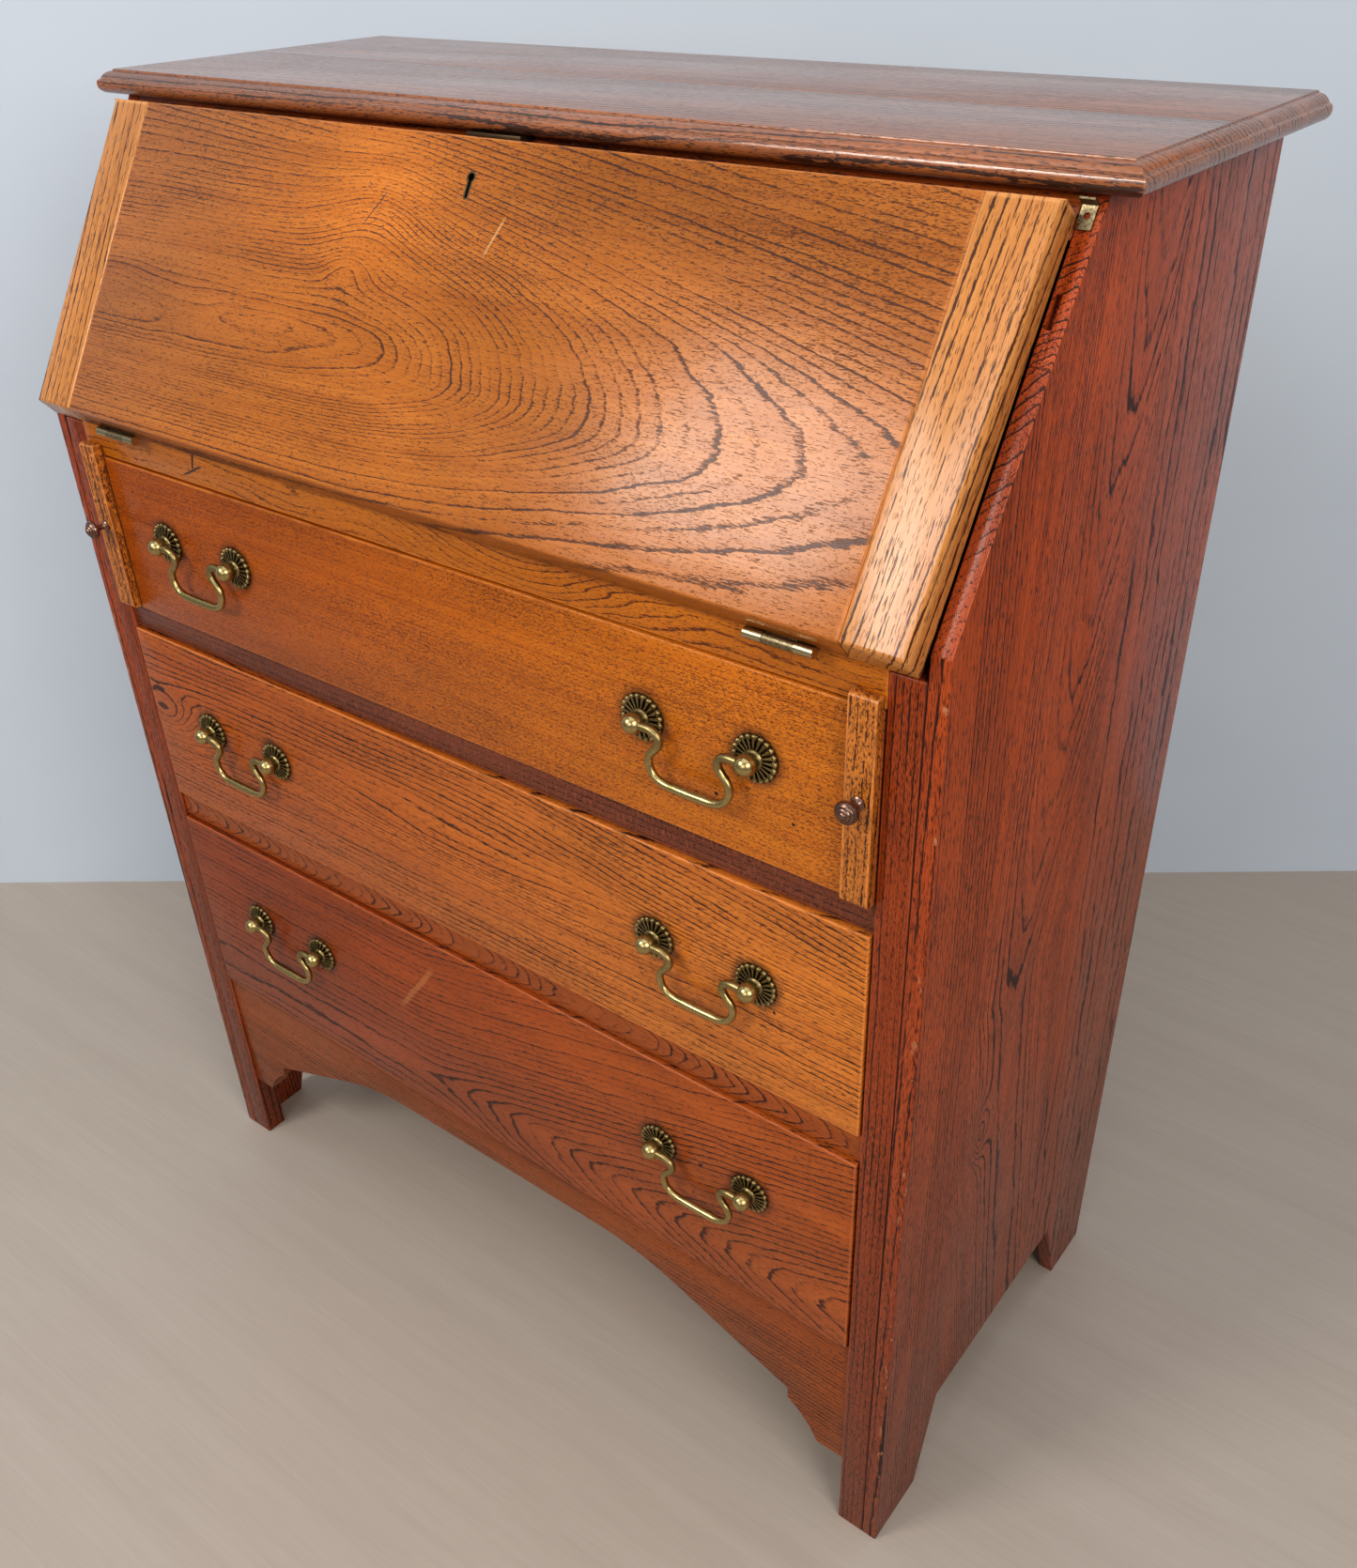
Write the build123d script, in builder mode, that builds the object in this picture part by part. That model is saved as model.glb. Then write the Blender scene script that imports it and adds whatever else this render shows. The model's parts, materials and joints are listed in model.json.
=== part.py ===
from build123d import *
import os
from math import cos, radians, sin, tan

# A small slope-front secretary desk in oak: two side panels on cut-out feet, three drawers, a pair
# of pull-out lopers that carry the open fall, and a moulded top.
# Millimetres, +Z up, +X to the right as one faces the desk, +Y to the back.
# The origin is on the floor, in the middle of the desk's whole width and depth, handles included.
# Heights are from the floor; depths in the code are from the front edges of the side panels.

os.makedirs("parts", exist_ok=True)

# ---------------------------------------------------------------- driving dimensions
WIDTH = 760.0  # over the two side panels
DEPTH = 366.0  # of a side panel
PANEL = 12.0  # thickness of a side panel
FIT = 0.2  # gap between pieces that are let in between others
INSIDE = WIDTH / 2 - PANEL  # half of the width between the side panels

SLOPE = 32.4  # of the fall front, from the vertical
SLOPE_START = 762.3  # height where the front edge of a side panel turns back
TOP_UNDER = 952.5  # underside of the top boards
TOP_THICK = 15.5
TOP_HALF = 400.0
TOP_FRONT = 108.7
TOP_BACK = 379.5
TOP_SEAM = 244.0

STILE = 21.5
STILE_DEPTH = 20.0
STILE_TOP = 747.0
OPENING = INSIDE - STILE  # half of the width between the stiles
RAIL_DEPTH = 47.0
RAIL_SETBACK = 2.0
DIVIDER_RAIL = (580.0, 600.0)  # underside and top of the rail below the top drawer
LOWER_RAIL = (396.0, 419.5)  # and of the rail below the middle drawer

DESK_TOP = 751.0  # writing surface
HINGE_RAIL_UNDER = 725.0
HINGE_RAIL_DEPTH = 45.0
BACK_FRONT = 356.0  # inner face of the back boards
BACK_THICK = 10.0

FALL_THICK = 17.5
FALL_HALF = INSIDE - 0.5
CLAMP = 40.5  # width of the two end clamps of the fall
FALL_UP = 213.6  # from the start of the slope up to the top edge of the fall

PIN_DEPTH = -9.5
PIN_HEIGHT = 750.0
BARREL = 3.2
HINGE_X = 287.0
HINGE_LENGTH = 43.0
LEAF = 1.5

LOPER_IN = 328.0
LOPER_OUT = 345.5
LOPER_LENGTH = 300.0
LOPER_FRONT = 8.0
LOPER_LOW = 602.0
LOPER_TOP = 733.5
KNOB_X = 337.0
KNOB_Z = 670.0
KNOB_LONG = 17.0
KNOB_HEAD = 7.0

FRONT_PROUD = 1.5  # the drawer fronts stand this far out
FRONT_THICK = 18.0
BOX_BACK = 335.0
SIDE_THICK = 11.0
POST_HALF = 40.0  # half of the distance between the two posts of a handle

# Front of the side panels, measured from the origin: the lopers' knobs and the back of the top
# boards are the two ends of the desk's depth.
FRONT_Y = -(TOP_BACK - LOPER_FRONT - KNOB_LONG) / 2

# name: lowest and highest point of the front, its half width, the box's half width and floor,
# the handles' height and the distance of their centres from the middle
DRAWERS = {
    "top": (601.0, 724.0, 326.5, 320.0, 600.3, 670.0, 227.0),
    "middle": (420.5, 578.5, 345.0, 344.5, 419.8, 507.0, 228.0),
    "bottom": (209.5, 394.5, 345.0, 344.5, 208.3, 316.0, 223.0),
}
HANDS = {"left": -1, "right": 1}


# ---------------------------------------------------------------- planes and small helpers
def facing(depth):
    """Plane that faces the front: its x is +X, its y is up, and it extrudes towards the viewer."""
    return Plane(origin=(0, FRONT_Y + depth, 0), x_dir=(1, 0, 0), z_dir=(0, -1, 0))


def across(x):
    """Plane across the desk: its x is the depth, its y is up, and it extrudes towards +X."""
    return Plane(origin=(x, FRONT_Y, 0), x_dir=(0, 1, 0), z_dir=(1, 0, 0))


def sloping(out):
    """Plane of the fall, `out` in front of its inner face: its y runs up the slope."""
    normal = Vector(0, -cos(radians(SLOPE)), sin(radians(SLOPE)))
    start = Vector(0, FRONT_Y, SLOPE_START) + normal * out
    return Plane(origin=start, x_dir=(1, 0, 0), z_dir=normal)


def slope_point(up, out):
    """Depth and height of a point that lies `up` the slope and `out` in front of it."""
    depth = up * sin(radians(SLOPE)) - out * cos(radians(SLOPE))
    height = SLOPE_START + up * cos(radians(SLOPE)) + out * sin(radians(SLOPE))
    return depth, height


def slope_depth(height):
    """Depth of the sloping front edge of a side panel at a height."""
    return (height - SLOPE_START) * tan(radians(SLOPE))


def block(x, depth, height, mode=Mode.ADD):
    """Adds a box between two values on each axis to the part that is being built."""
    middle = ((x[0] + x[1]) / 2, FRONT_Y + (depth[0] + depth[1]) / 2, (height[0] + height[1]) / 2)
    with Locations(middle):
        Box(x[1] - x[0], depth[1] - depth[0], height[1] - height[0], mode=mode)


def mirrored(x0, x1, hand):
    """The two x values on the side of a hand, lower one first."""
    return tuple(sorted((hand * x0, hand * x1)))


def save(piece, name):
    piece.part.label = name
    export_step(piece.part, f"parts/{name}.step")


# ---------------------------------------------------------------- where the fall's hinges are
PIN_RADIUS = 1.5
PIN_GAP = 0.05
OUTER_KNUCKLE = 11.5  # the outer knuckles are on the fixed leaf, the long middle one on the fall's
LEAF_DEPTH = 25.0
SCREW_HEAD = 2.6
SCREW_SHANK = 1.4
SCREW_LONG = 14.0
SCREW_CONE = 1.1  # height of the conical part of a head
SINK_DEPTH = 3.0
SINK_ANGLE = 90
SCREW_IN = 8.0  # from the end of a hinge to its screw
RAIL_SCREW_DEPTH = 14.0
FALL_SCREW_UP = 6.5


def hinge_ends(hand):
    """Left and right end of one hinge."""
    return mirrored(HINGE_X - HINGE_LENGTH / 2, HINGE_X + HINGE_LENGTH / 2, hand)


def on_pin(radius, x0, x1, mode=Mode.ADD):
    """Round bar between two x values on the hinge pins' axis."""
    with Locations(Location((x0, FRONT_Y + PIN_DEPTH, PIN_HEIGHT), (0, 90, 0))):
        Cylinder(radius, x1 - x0, align=(Align.CENTER, Align.CENTER, Align.MIN), mode=mode)


def rail_screw_spots(hand):
    """Where the screws of a fixed leaf go down into the hinge rail."""
    return [Location((x, FRONT_Y + RAIL_SCREW_DEPTH, DESK_TOP)) for x in screw_x(hand)]


def fall_screw_spots(hand):
    """Where the screws of a fall leaf go into the inner face of the fall."""
    inner = sloping(0)
    spots = [inner.from_local_coords((x, FALL_SCREW_UP, 0)) for x in screw_x(hand)]
    return [Plane(origin=spot, x_dir=(1, 0, 0), z_dir=-inner.z_dir) for spot in spots]


def screw_x(hand):
    """The x values of the two screws of one leaf."""
    x0, x1 = hinge_ends(hand)
    return (x0 + SCREW_IN, x1 - SCREW_IN)


# ---------------------------------------------------------------- side panels and stiles
FOOT_FRONT = 60.0
FOOT_SLANT = 25.0
FOOT_HEIGHT = 85.0
FOOT_BACK_START = 283.0
FOOT_BACK = 312.0
RECESS_X = INSIDE + 3.5  # small recess in the slanted edge of the right panel, below the catch
RECESS_UP = 168.0
RECESS_WIDE = 3.5
RECESS_LONG = 17.0
RECESS_DEEP = 6.0


def side_panel(hand):
    with BuildPart() as panel:
        with BuildSketch(across(hand * INSIDE)):
            with BuildLine():
                Polyline(
                    (0, 0),
                    (FOOT_FRONT, 0),
                    (FOOT_FRONT + FOOT_SLANT, FOOT_HEIGHT),
                    (FOOT_BACK_START, FOOT_HEIGHT),
                    (FOOT_BACK, 0),
                    (DEPTH, 0),
                    (DEPTH, TOP_UNDER),
                    (slope_depth(TOP_UNDER), TOP_UNDER),
                    (0, SLOPE_START),
                    close=True,
                )
            make_face()
        extrude(amount=hand * PANEL)
        if hand > 0:
            with BuildSketch(sloping(0)):
                with Locations((RECESS_X, RECESS_UP)):
                    Rectangle(RECESS_WIDE, RECESS_LONG)
            extrude(amount=-RECESS_DEEP, mode=Mode.SUBTRACT)
    return panel


for side, hand in HANDS.items():
    save(side_panel(hand), f"side_panel_{side}")
    with BuildPart() as stile:
        block(mirrored(OPENING, INSIDE, hand), (0, STILE_DEPTH), (0, STILE_TOP))
    save(stile, f"stile_{side}")


# ---------------------------------------------------------------- top boards
TOP_Z = TOP_UNDER + TOP_THICK
LIP = 9.5  # from the edge in to the flat of the top
UNDERCUT = 4.5  # from the edge in to the flat of the underside


def moulded_edge(edge, turn):
    """Edge moulding: lip, ovolo, small step and round nosing; `turn` is +1 where it faces +x."""

    def at(inward, down):
        return (edge - turn * inward, TOP_Z - down)

    Line(at(LIP, 0), at(LIP, 1.2))
    ThreePointArc(at(LIP, 1.2), at(4.9, 2.9), at(2.4, 6.2))
    Line(at(2.4, 6.2), at(0.8, 6.8))
    ThreePointArc(at(0.8, 6.8), at(0, 9.8), at(UNDERCUT, TOP_THICK))


def top_board(start, end):
    """The part of the moulded top between two depths."""
    with BuildPart() as board:
        with BuildSketch(facing(TOP_BACK)):
            with BuildLine():
                moulded_edge(-TOP_HALF, -1)
                moulded_edge(TOP_HALF, 1)
                Line((LIP - TOP_HALF, TOP_Z), (TOP_HALF - LIP, TOP_Z))
                Line((UNDERCUT - TOP_HALF, TOP_UNDER), (TOP_HALF - UNDERCUT, TOP_UNDER))
            make_face()
        extrude(amount=TOP_BACK - TOP_FRONT)
        with BuildSketch(across(-TOP_HALF)):
            with BuildLine():
                moulded_edge(TOP_FRONT, -1)
                Line((TOP_FRONT + LIP, TOP_Z), (TOP_BACK, TOP_Z))
                Line((TOP_BACK, TOP_Z), (TOP_BACK, TOP_UNDER))
                Line((TOP_BACK, TOP_UNDER), (TOP_FRONT + UNDERCUT, TOP_UNDER))
            make_face()
        extrude(amount=2 * TOP_HALF, mode=Mode.INTERSECT)
        block((-TOP_HALF, TOP_HALF), (start, end), (TOP_UNDER, TOP_Z), Mode.INTERSECT)
    return board


save(top_board(TOP_FRONT, TOP_SEAM - FIT), "top_board_front")
save(top_board(TOP_SEAM + FIT, TOP_BACK), "top_board_back")


# ---------------------------------------------------------------- desk board and rails
rail_x = (FIT - OPENING, OPENING - FIT)
rail_depth = (RAIL_SETBACK, RAIL_DEPTH)
BOARD_THICK = 18.0  # of the desk board and of the apron

with BuildPart() as hinge_rail:
    block(rail_x, (0, HINGE_RAIL_DEPTH), (HINGE_RAIL_UNDER, DESK_TOP))
    for hand in HANDS.values():
        block(hinge_ends(hand), (-1, LEAF_DEPTH), (DESK_TOP - LEAF, DESK_TOP + 1), Mode.SUBTRACT)
        with Locations(*rail_screw_spots(hand)):
            Hole(SCREW_SHANK, SCREW_LONG)
save(hinge_rail, "hinge_rail")

with BuildPart() as writing_board:
    block((FIT - INSIDE, INSIDE - FIT), (HINGE_RAIL_DEPTH, BACK_FRONT), (DESK_TOP - BOARD_THICK, DESK_TOP))
save(writing_board, "writing_board")

with BuildPart() as divider_rail:
    block(rail_x, rail_depth, DIVIDER_RAIL)
save(divider_rail, "divider_rail")

with BuildPart() as lower_rail:
    block(rail_x, rail_depth, LOWER_RAIL)
save(lower_rail, "lower_rail")

APRON_TOP = 208.0
ARCH_TOP = 173.3
ARCH_END = 117.0
ARCH_FLAT = 151.0  # half of the length where the arch is flat, before its corners are rounded
ARCH_BEND = 220.0
CUSP_X = 295.0
CUSP_Z = 107.0
NUB_X = 323.0
NUB_Z = 74.0
HOLLOW_X = 311.7  # middle of the curve from the cusp to the nub
HOLLOW_Z = 92.8
with BuildPart() as apron:
    with BuildSketch(facing(RAIL_SETBACK)):
        with BuildLine():
            FilletPolyline(
                (-CUSP_X, ARCH_END),
                (-ARCH_FLAT, ARCH_TOP),
                (ARCH_FLAT, ARCH_TOP),
                (CUSP_X, ARCH_END),
                radius=ARCH_BEND,
            )
            for hand in HANDS.values():
                cusp = (hand * CUSP_X, CUSP_Z)
                Line((hand * CUSP_X, ARCH_END), cusp)
                ThreePointArc(cusp, (hand * HOLLOW_X, HOLLOW_Z), (hand * NUB_X, NUB_Z))
                Polyline(
                    (hand * NUB_X, NUB_Z),
                    (hand * rail_x[1], NUB_Z),
                    (hand * rail_x[1], APRON_TOP),
                )
            Line((rail_x[0], APRON_TOP), (rail_x[1], APRON_TOP))
        make_face()
    extrude(amount=-BOARD_THICK)
save(apron, "apron")

BACK_BOARDS = 5
BACK_GAP = 0.6
BACK_LOW = 4.0
with BuildPart() as back_boards:
    pitch = 2 * (INSIDE - FIT) / BACK_BOARDS
    for index in range(BACK_BOARDS):
        left = FIT - INSIDE + index * pitch
        back_depth = (BACK_FRONT, BACK_FRONT + BACK_THICK)
        block((left, left + pitch - BACK_GAP), back_depth, (BACK_LOW, TOP_UNDER))
save(back_boards, "back_boards")

# ---------------------------------------------------------------- runners, guides and top rail
RUNNER = 18.0
GUIDE_HIGH = 20.0
TOP_RUNNER_IN = 300.0  # inner face of a runner of the top drawer, and of the other two drawers
RUNNER_IN = 330.0
outer_x = INSIDE - FIT
top_bearing = DIVIDER_RAIL[1]
runner_depth = (RAIL_DEPTH, BACK_FRONT)
with BuildPart() as drawer_runners:
    for hand in HANDS.values():
        top_runner = (top_bearing - RUNNER, top_bearing)
        block(mirrored(TOP_RUNNER_IN, outer_x, hand), runner_depth, top_runner)
        for bearing in (LOWER_RAIL[1], APRON_TOP):
            block(mirrored(RUNNER_IN, outer_x, hand), runner_depth, (bearing - RUNNER, bearing))
            guide = (bearing + FIT, bearing + GUIDE_HIGH)
            block(mirrored(OPENING, outer_x, hand), runner_depth, guide)
save(drawer_runners, "drawer_runners")

LOPER_GUIDE = (321.0, 327.0)  # upright board between the top drawer and a loper
OUTER_GUIDE_HIGH = 25.0
guide_depth = (STILE_DEPTH, BACK_FRONT)
with BuildPart() as loper_guides:
    for hand in HANDS.values():
        block(mirrored(*LOPER_GUIDE, hand), guide_depth, (top_bearing, HINGE_RAIL_UNDER))
        outer_guide = (top_bearing, top_bearing + OUTER_GUIDE_HIGH)
        block(mirrored(OPENING, outer_x, hand), guide_depth, outer_guide)
save(loper_guides, "loper_guides")

TOP_RAIL_LOW = 932.0
TOP_RAIL_BACK = 142.0
TOP_RAIL_GAP = 0.4  # between the rail and the closed fall
STRIKE_HALF = 22.0
STRIKE_FRONT = 108.0
STRIKE_BACK = 124.0
STRIKE_LOW = 948.5
STRIKE_SLOT_HALF = 9.6
STRIKE_SLOT_DEPTH = (111.2, 119.4)
with BuildPart() as top_rail:
    with BuildSketch(across(FIT - INSIDE)):
        with BuildLine():
            Polyline(
                (slope_depth(TOP_RAIL_LOW) + TOP_RAIL_GAP, TOP_RAIL_LOW),
                (TOP_RAIL_BACK, TOP_RAIL_LOW),
                (TOP_RAIL_BACK, TOP_UNDER),
                (slope_depth(TOP_UNDER) + TOP_RAIL_GAP, TOP_UNDER),
                close=True,
            )
        make_face()
    extrude(amount=2 * (INSIDE - FIT))
    # room for the strike, open to the front and at the top
    strike_x = (-STRIKE_HALF, STRIKE_HALF)
    block(strike_x, (0, STRIKE_BACK), (STRIKE_LOW, TOP_Z), Mode.SUBTRACT)
save(top_rail, "top_rail")

with BuildPart() as lock_strike:
    block(strike_x, (STRIKE_FRONT, STRIKE_BACK), (STRIKE_LOW, TOP_UNDER))
    slot_x = (-STRIKE_SLOT_HALF, STRIKE_SLOT_HALF)
    block(slot_x, STRIKE_SLOT_DEPTH, (STRIKE_LOW - 1, TOP_UNDER + 1), Mode.SUBTRACT)
save(lock_strike, "lock_strike")

CATCH_X = INSIDE + 4.5
CATCH_UP = 213.0
CATCH_WIDE = 8.0
CATCH_TALL = 13.0
CATCH_THICK = 1.2
CATCH_HOLE = 1.6
LIP_UP = 218.8
LIP_THICK = 1.4
LIP_OUT = 6.0
with BuildPart() as fall_catch:
    with BuildSketch(sloping(0)):
        with Locations((CATCH_X, CATCH_UP)):
            RectangleRounded(CATCH_WIDE, CATCH_TALL, 1)
            Circle(CATCH_HOLE, mode=Mode.SUBTRACT)
    extrude(amount=CATCH_THICK)
    with BuildSketch(sloping(CATCH_THICK)):
        with Locations((CATCH_X, LIP_UP)):
            Rectangle(CATCH_WIDE, LIP_THICK)
    extrude(amount=LIP_OUT)
save(fall_catch, "fall_catch")

# ---------------------------------------------------------------- pigeonholes
SHELF_Z = 850.0
SHELF_THICK = 8.0
HOLE_DEPTH = (200.0, BACK_FRONT)
DIVIDER = 6.0
UPPER_DIVIDERS_X = (-220, -73, 73, 220)
LOWER_DIVIDERS_X = (-146, 146)
with BuildPart() as pigeonhole_shelf:
    block((FIT - INSIDE, INSIDE - FIT), HOLE_DEPTH, (SHELF_Z, SHELF_Z + SHELF_THICK))
save(pigeonhole_shelf, "pigeonhole_shelf")

with BuildPart() as pigeonhole_dividers:
    for places, height in (
        (UPPER_DIVIDERS_X, (SHELF_Z + SHELF_THICK, TOP_UNDER)),
        (LOWER_DIVIDERS_X, (DESK_TOP, SHELF_Z)),
    ):
        for x in places:
            block((x - DIVIDER / 2, x + DIVIDER / 2), HOLE_DEPTH, height)
save(pigeonhole_dividers, "pigeonhole_dividers")


# ---------------------------------------------------------------- fall front
LOWER_OUTER_UP = -7.4  # the outer and the inner arris of the lower edge, along the slope
LOWER_INNER_UP = -12.7
LOCK_HALF = 28.0
LOCK_LOW = 158.0
LOCK_DEEP = 10.0
KEY_UP = 185.0
KEY_TALL = 17.0
KEY_ROUND = 0.21  # radius of the keyhole's round part, and the slot below it, as parts of its height
KEY_SLOT_WIDE = 0.26
KEY_SLOT_TALL = 0.8
KEY_SLOT_DOWN = 0.1
LINER_WALL = 1.2
LEAF_SINK = 26.0  # height of the sinking for a fall leaf, half of it above the lower arris


def fall_blank(x0, x1):
    """A length of the fall's section, with the outer arris of its top edge eased."""
    with BuildPart() as blank:
        with BuildSketch(across(x0)):
            with BuildLine():
                Polyline(
                    slope_point(LOWER_INNER_UP, 0),
                    slope_point(LOWER_OUTER_UP, FALL_THICK),
                    slope_point(FALL_UP, FALL_THICK),
                    slope_point(FALL_UP, 0),
                    close=True,
                )
            make_face()
        extrude(amount=x1 - x0)
        fillet(blank.edges().filter_by(Axis.X).group_by(Axis.Z)[-1], 1.0)
    return blank


def keyhole(tall):
    """Keyhole outline: a round hole with a narrower slot below it."""
    round_hole = tall * KEY_ROUND
    with Locations((0, KEY_UP + tall / 2 - round_hole)):
        Circle(round_hole)
    with Locations((0, KEY_UP - tall * KEY_SLOT_DOWN)):
        RectangleRounded(tall * KEY_SLOT_WIDE, tall * KEY_SLOT_TALL, tall * 0.1)


clamp_in = FALL_HALF - CLAMP
panel_blank = fall_blank(-clamp_in, clamp_in)
with BuildPart() as fall_panel:
    add(panel_blank.part)
    # clearance for the knuckles, and the sinkings for the hinge leaves
    for hand in HANDS.values():
        x0, x1 = hinge_ends(hand)
        on_pin(BARREL + 0.5, x0 - 0.4, x1 + 0.4, Mode.SUBTRACT)
        with BuildSketch(sloping(0)):
            with Locations((hand * HINGE_X, 0)):
                Rectangle(HINGE_LENGTH, LEAF_SINK)
        extrude(amount=LEAF, mode=Mode.SUBTRACT)
        with Locations(*fall_screw_spots(hand)):
            Hole(SCREW_SHANK, SCREW_LONG)
    # mortise for the lock, open at the top edge
    with BuildSketch(sloping(0)):
        with Locations((0, (LOCK_LOW + FALL_UP + 1) / 2)):
            Rectangle(2 * LOCK_HALF, FALL_UP + 1 - LOCK_LOW)
    extrude(amount=LOCK_DEEP, mode=Mode.SUBTRACT)
    with BuildSketch(sloping(0)):
        keyhole(KEY_TALL)
    extrude(amount=FALL_THICK + 1, mode=Mode.SUBTRACT)
save(fall_panel, "fall_panel")

for side, hand in HANDS.items():
    save(fall_blank(*mirrored(clamp_in, FALL_HALF, hand)), f"fall_clamp_{side}")

with BuildPart() as keyhole_liner:
    with BuildSketch(sloping(LOCK_DEEP)):
        keyhole(KEY_TALL)
        with Locations((0, KEY_UP + KEY_TALL * (0.5 - KEY_ROUND))):
            Circle(KEY_TALL * KEY_ROUND - LINER_WALL, mode=Mode.SUBTRACT)
        slot_wide = KEY_TALL * KEY_SLOT_WIDE - 2 * LINER_WALL
        slot_tall = (KEY_TALL - 2 * LINER_WALL) * KEY_SLOT_TALL
        with Locations((0, KEY_UP - KEY_TALL * KEY_SLOT_DOWN)):
            Rectangle(slot_wide, slot_tall, mode=Mode.SUBTRACT)
    extrude(amount=FALL_THICK - LOCK_DEEP)
save(keyhole_liner, "keyhole_liner")

# ---------------------------------------------------------------- lock
BOLT_HALF = 9.0
BOLT_OUT = (1.5, 5.5)
BOLT_UP = (185.0, 212.8)
BOLT_GAP = 0.3
with BuildPart() as lock_case:
    with BuildSketch(sloping(0)):
        with Locations((0, (LOCK_LOW + FALL_UP - 0.2) / 2)):
            Rectangle(2 * LOCK_HALF, FALL_UP - 0.2 - LOCK_LOW)
    extrude(amount=LOCK_DEEP)
    with BuildSketch(sloping(BOLT_OUT[0] - BOLT_GAP)):
        with Locations((0, (BOLT_UP[0] + FALL_UP) / 2)):
            Rectangle(2 * (BOLT_HALF + BOLT_GAP), FALL_UP - BOLT_UP[0] + 2 * BOLT_GAP)
    extrude(amount=BOLT_OUT[1] - BOLT_OUT[0] + 2 * BOLT_GAP, mode=Mode.SUBTRACT)
    with BuildSketch(sloping(BOLT_OUT[1])):
        keyhole(KEY_TALL * 0.8)
    extrude(amount=LOCK_DEEP, mode=Mode.SUBTRACT)
save(lock_case, "lock_case")

with BuildPart() as lock_bolt:
    with BuildSketch(sloping(BOLT_OUT[0])):
        with Locations((0, (BOLT_UP[0] + BOLT_UP[1]) / 2)):
            Rectangle(2 * BOLT_HALF, BOLT_UP[1] - BOLT_UP[0])
    extrude(amount=BOLT_OUT[1] - BOLT_OUT[0])
save(lock_bolt, "lock_bolt")

# ---------------------------------------------------------------- fall hinges
MIDDLE_LEAF_UP = -1.5  # middle and height of the fall leaf between the outer knuckles
MIDDLE_LEAF_TALL = 28.0
FALL_LEAF_UP = 0.3  # and of the whole leaf
FALL_LEAF_TALL = 25.4
with BuildPart() as fixed_leaves:
    for hand in HANDS.values():
        x0, x1 = hinge_ends(hand)
        block((x0, x1), (PIN_DEPTH, LEAF_DEPTH), (DESK_TOP - LEAF, DESK_TOP))
        on_pin(BARREL, x0, x0 + OUTER_KNUCKLE)
        on_pin(BARREL, x1 - OUTER_KNUCKLE, x1)
        # room for the middle knuckle
        block(
            (x0 + OUTER_KNUCKLE, x1 - OUTER_KNUCKLE),
            (PIN_DEPTH - BARREL - 1, PIN_DEPTH + BARREL + 0.5),
            (PIN_HEIGHT - BARREL - 1, PIN_HEIGHT + BARREL + 1),
            Mode.SUBTRACT,
        )
        on_pin(PIN_RADIUS + PIN_GAP, x0 - 1, x1 + 1, Mode.SUBTRACT)
        with Locations(*rail_screw_spots(hand)):
            CounterSinkHole(SCREW_SHANK + 0.1, SCREW_HEAD, SINK_DEPTH, SINK_ANGLE)
save(fixed_leaves, "hinge_leaves_fixed")

with BuildPart() as fall_leaves:
    for hand in HANDS.values():
        x0, x1 = hinge_ends(hand)
        middle = (x0 + OUTER_KNUCKLE + FIT, x1 - OUTER_KNUCKLE - FIT)
        on_pin(BARREL, *middle)
        with BuildSketch(sloping(0)):
            with Locations((hand * HINGE_X, MIDDLE_LEAF_UP)):
                Rectangle(middle[1] - middle[0], MIDDLE_LEAF_TALL)
            with Locations((hand * HINGE_X, FALL_LEAF_UP)):
                Rectangle(HINGE_LENGTH, FALL_LEAF_TALL)
        extrude(amount=LEAF)
        # room for the outer knuckles
        on_pin(BARREL + 0.4, x0 - 1, middle[0], Mode.SUBTRACT)
        on_pin(BARREL + 0.4, middle[1], x1 + 1, Mode.SUBTRACT)
        on_pin(PIN_RADIUS + PIN_GAP, *middle, Mode.SUBTRACT)
        with Locations(*fall_screw_spots(hand)):
            CounterSinkHole(SCREW_SHANK + 0.1, SCREW_HEAD, SINK_DEPTH, SINK_ANGLE)
save(fall_leaves, "hinge_leaves_fall")

with BuildPart() as hinge_pins:
    for hand in HANDS.values():
        on_pin(PIN_RADIUS, *hinge_ends(hand))
save(hinge_pins, "hinge_pins")

DOWN = (Align.CENTER, Align.CENTER, Align.MAX)
for name, spots in (("fixed", rail_screw_spots), ("fall", fall_screw_spots)):
    with BuildPart() as screws:
        for hand in HANDS.values():
            with Locations(*spots(hand)):
                Cylinder(SCREW_SHANK, SCREW_LONG, align=DOWN)
                Cone(SCREW_SHANK, SCREW_HEAD - 0.1, SCREW_CONE, align=DOWN)
    save(screws, f"hinge_screws_{name}")

# ---------------------------------------------------------------- lopers
BEARER_GAP = 0.3
FRONT_ROUND = 3.0  # rounding of the front edges of a loper's end
KNOB_NOSE = 1.0
KNOB_STEM = 2.2
KNOB_COLLAR = 4.2
# half outline of a knob: radius and distance from the end of the loper, collar first
KNOB_OUTLINE = (
    (0, 0),
    (KNOB_COLLAR, 0),
    (KNOB_COLLAR, 1.2),
    (KNOB_STEM, 3),
    (KNOB_STEM, 9),
    (KNOB_HEAD, 10.5),
    (KNOB_HEAD, 13),
)
KNOB_DOME = (4.9, 15.8)  # middle of the curve from the rim of the head to its flat nose

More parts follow.
